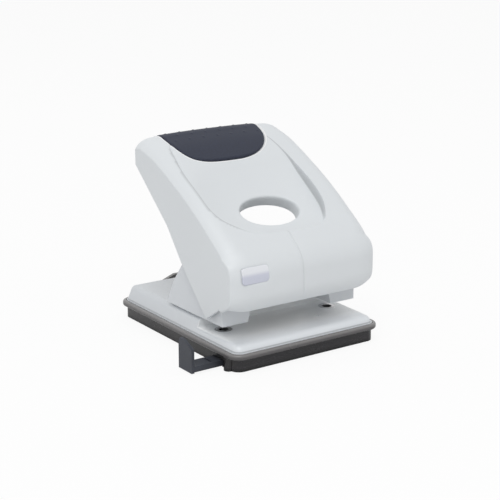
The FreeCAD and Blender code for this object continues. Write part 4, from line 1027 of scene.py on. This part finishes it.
# a plate that lies in the skin, with a rounded edge, a skirt and an optional field of low domes
def inlay(outline, gap, proud, skirt, edgeRound, step, domes=(), domeRadius=1.0, domeHeight=0.0):
    margins = [edgeRound * (1 - math.cos(math.radians(turn))) for turn in (0, *inlayMesh["edgeTurns"])]
    rings = [(resampled(grown(outline, -gap - margin), inlayMesh["ringStep"]), True)
             for margin in margins + [edgeRound + inlayMesh["innerRing"]]]
    spans = [np.arange(outline[:, axis].min(), outline[:, axis].max(), step) for axis in range(2)]
    grid = np.array([(station, x) for station in spans[0] for x in spans[1]])
    grid = grid[signedDistance(grid, outline) > gap + edgeRound + inlayMesh["gridMargin"]]
    extra = []
    for centre in domes:
        extra.append(np.array([centre]))
        for share in inlayMesh["domeRings"]:
            angles = np.linspace(0, 2 * math.pi, inlayMesh["domePoints"], endpoint=False) + share
            extra.append(centre + domeRadius * share * np.stack([np.cos(angles), np.sin(angles)], axis=1))
    if extra:
        extra = np.vstack(extra)
        grid = np.vstack([apartFrom(grid, [(extra, False)], inlayMesh["domeGap"]), extra])
    border = rings[0][0]
    flat, faces = triangulated(rings, apartFrom(grid, rings, inlayMesh["ringGap"]),
                               lambda centres: signedDistance(centres, border) > 0)
    share = np.clip(1 - (signedDistance(flat, outline) - gap) / edgeRound, 0, 1)
    height = proud - edgeRound * (1 - np.sqrt(np.clip(1 - share ** 2, 0, 1)))
    for centre in domes:
        reach = np.minimum(np.hypot(*(flat - centre).T) / domeRadius, 1)
        height += domeHeight * 0.5 * (1 + np.cos(math.pi * reach))
    form = bmesh.new()
    verts = newVerts(form, skin.place(flat[:, 0], flat[:, 1], height))
    for face in faces:
        form.faces.new([verts[index] for index in face])
    form.verts.index_update()
    outward = np.stack(skin.outward(flat[:, 0]), axis=1)
    fresh, _ = pulledRim(form, [edge for edge in form.edges if len(edge.link_faces) == 1])
    for vert in fresh:
        above = next(edge.other_vert(vert) for edge in vert.link_edges if edge.other_vert(vert) not in fresh)
        vert.co -= Vector((0, *outward[above.index])) * skirt * mm
    bmesh.ops.recalc_face_normals(form, faces=form.faces)
    return form


# centres of the grip's low domes, in staggered rows
def gripDots():
    dots = grip["dots"]
    pitch, low = dots["pitch"], gripLoop[:, 0].min() + dots["start"]
    centres = np.array([(low + row * pitch * dots["rowPitch"], (number + row % 2 / 2) * pitch + dots["shift"])
                        for row in range(dots["rows"]) for number in range(-5, 6)])
    return centres[signedDistance(centres, gripLoop) > dots["clear"]]


cover = finishedObject("handle_skin", handleCover(), "lever", "cover", 38.0)
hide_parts("handle_cover")
print("handle skin made", len(cover.data.polygons))

padForm = inlay(gripLoop, **grip["plate"], domes=gripDots(), domeRadius=grip["dots"]["radius"],
                domeHeight=grip["dots"]["height"])
pad = finishedObject("grip_inlay", padForm, "lever", "grip", 60.0)
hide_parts("grip_pad")
plate = finishedObject("badge_plate", inlay(badgeLoop, **badge["plate"]), "lever", "badge", 60.0)
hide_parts("blank_badge")
print("grip and badge made", len(pad.data.polygons), len(plate.data.polygons))

softPlate = {"halfWidth": 53.2, "halfDepth": 67.1, "corner": 6.0, "foot": 12.2, "flange": 0.7, "slope": 20.0,
             "lowDeck": 16.5, "highDeck": 22.0, "backstop": -21.5, "radius": 4.4,
             "cuts": (0.12, 0.3, 0.5, 0.72, 1.0), "slack": 0.05}


# distance inwards from the plate's lower outline
def plateInset(x, y):
    corner = softPlate["corner"]
    offset = np.array([abs(x) - softPlate["halfWidth"] + corner, abs(y) - softPlate["halfDepth"] + corner])
    return corner - norm(np.maximum(offset, 0)) - min(max(offset), 0)


# the plate with broad rounding where its decks meet the slopes
def softenedPlate():
    form = mergedCopy("base_plate")
    slope, radius = math.radians(softPlate["slope"]), softPlate["radius"]
    foot, flange = softPlate["foot"], softPlate["flange"]
    turn = math.pi / 2 - slope
    reach = radius * math.tan(turn / 2)
    cuts = []
    for deck in (softPlate["lowDeck"], softPlate["highDeck"]):
        inset = flange + (deck - foot) * math.tan(slope)
        for share in softPlate["cuts"]:
            cuts.append(((0, 0, deck - reach * share * math.cos(slope)), (0, 0, 1)))
            for sign in (-1, 1):
                cuts.append(((sign * (softPlate["halfWidth"] - inset - reach * share), 0, 0), (1, 0, 0)))
                cuts.append(((0, sign * (softPlate["halfDepth"] - inset - reach * share), 0), (0, 1, 0)))
    for place, direction in cuts:
        everything = form.verts[:] + form.edges[:] + form.faces[:]
        bmesh.ops.bisect_plane(form, geom=everything, plane_co=Vector(place) * mm, plane_no=direction)
    bmesh.ops.triangulate(form, faces=form.faces)
    for vert in form.verts:
        x, y, z = vert.co / mm
        deck = softPlate["lowDeck"] if y < softPlate["backstop"] - 0.01 else softPlate["highDeck"]
        inset = plateInset(x, y)
        behind = (inset - flange) * math.cos(slope) - (z - foot) * math.sin(slope)
        if min(deck - z, behind) < -softPlate["slack"] or z < foot:
            continue
        # the rounding's axis lies one radius below the deck and one behind the slope
        axisInset = (radius + (deck - radius - foot) * math.sin(slope)) / math.cos(slope) + flange
        across, up = axisInset - inset, z - (deck - radius)
        angle = math.atan2(across, up)
        if math.hypot(across, up) <= radius or not 0 < angle < turn:
            continue
        gradient = np.array([plateInset(x + 0.01, y) - plateInset(x - 0.01, y),
                             plateInset(x, y + 0.01) - plateInset(x, y - 0.01)])
        gradient /= max(norm(gradient), 1e-9)
        shift = gradient * (across - radius * math.sin(angle))
        vert.co = Vector((x + shift[0], y + shift[1], deck - radius + radius * math.cos(angle))) * mm
    return form


plateSkin = finishedObject("plate_skin", softenedPlate(), bodyNames["base_plate"], "plate",
                           28.0)
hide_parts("base_plate")
print("plate made", len(plateSkin.data.polygons))

for nodeName, paintName in nodePaints.items():
    if nodeName in ("handle_cover", "grip_pad", "blank_badge", "base_plate"):
        continue
    coil = nodeName.startswith("pin_spring")
    made = finishedObject(nodeName + "_smooth", mergedCopy(nodeName), None if coil else bodyNames[nodeName],
                          paintName, 30.0)
    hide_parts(nodeName)
    if coil:
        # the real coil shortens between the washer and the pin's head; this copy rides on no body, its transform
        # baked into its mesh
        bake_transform(made)
print("smooth copies made")
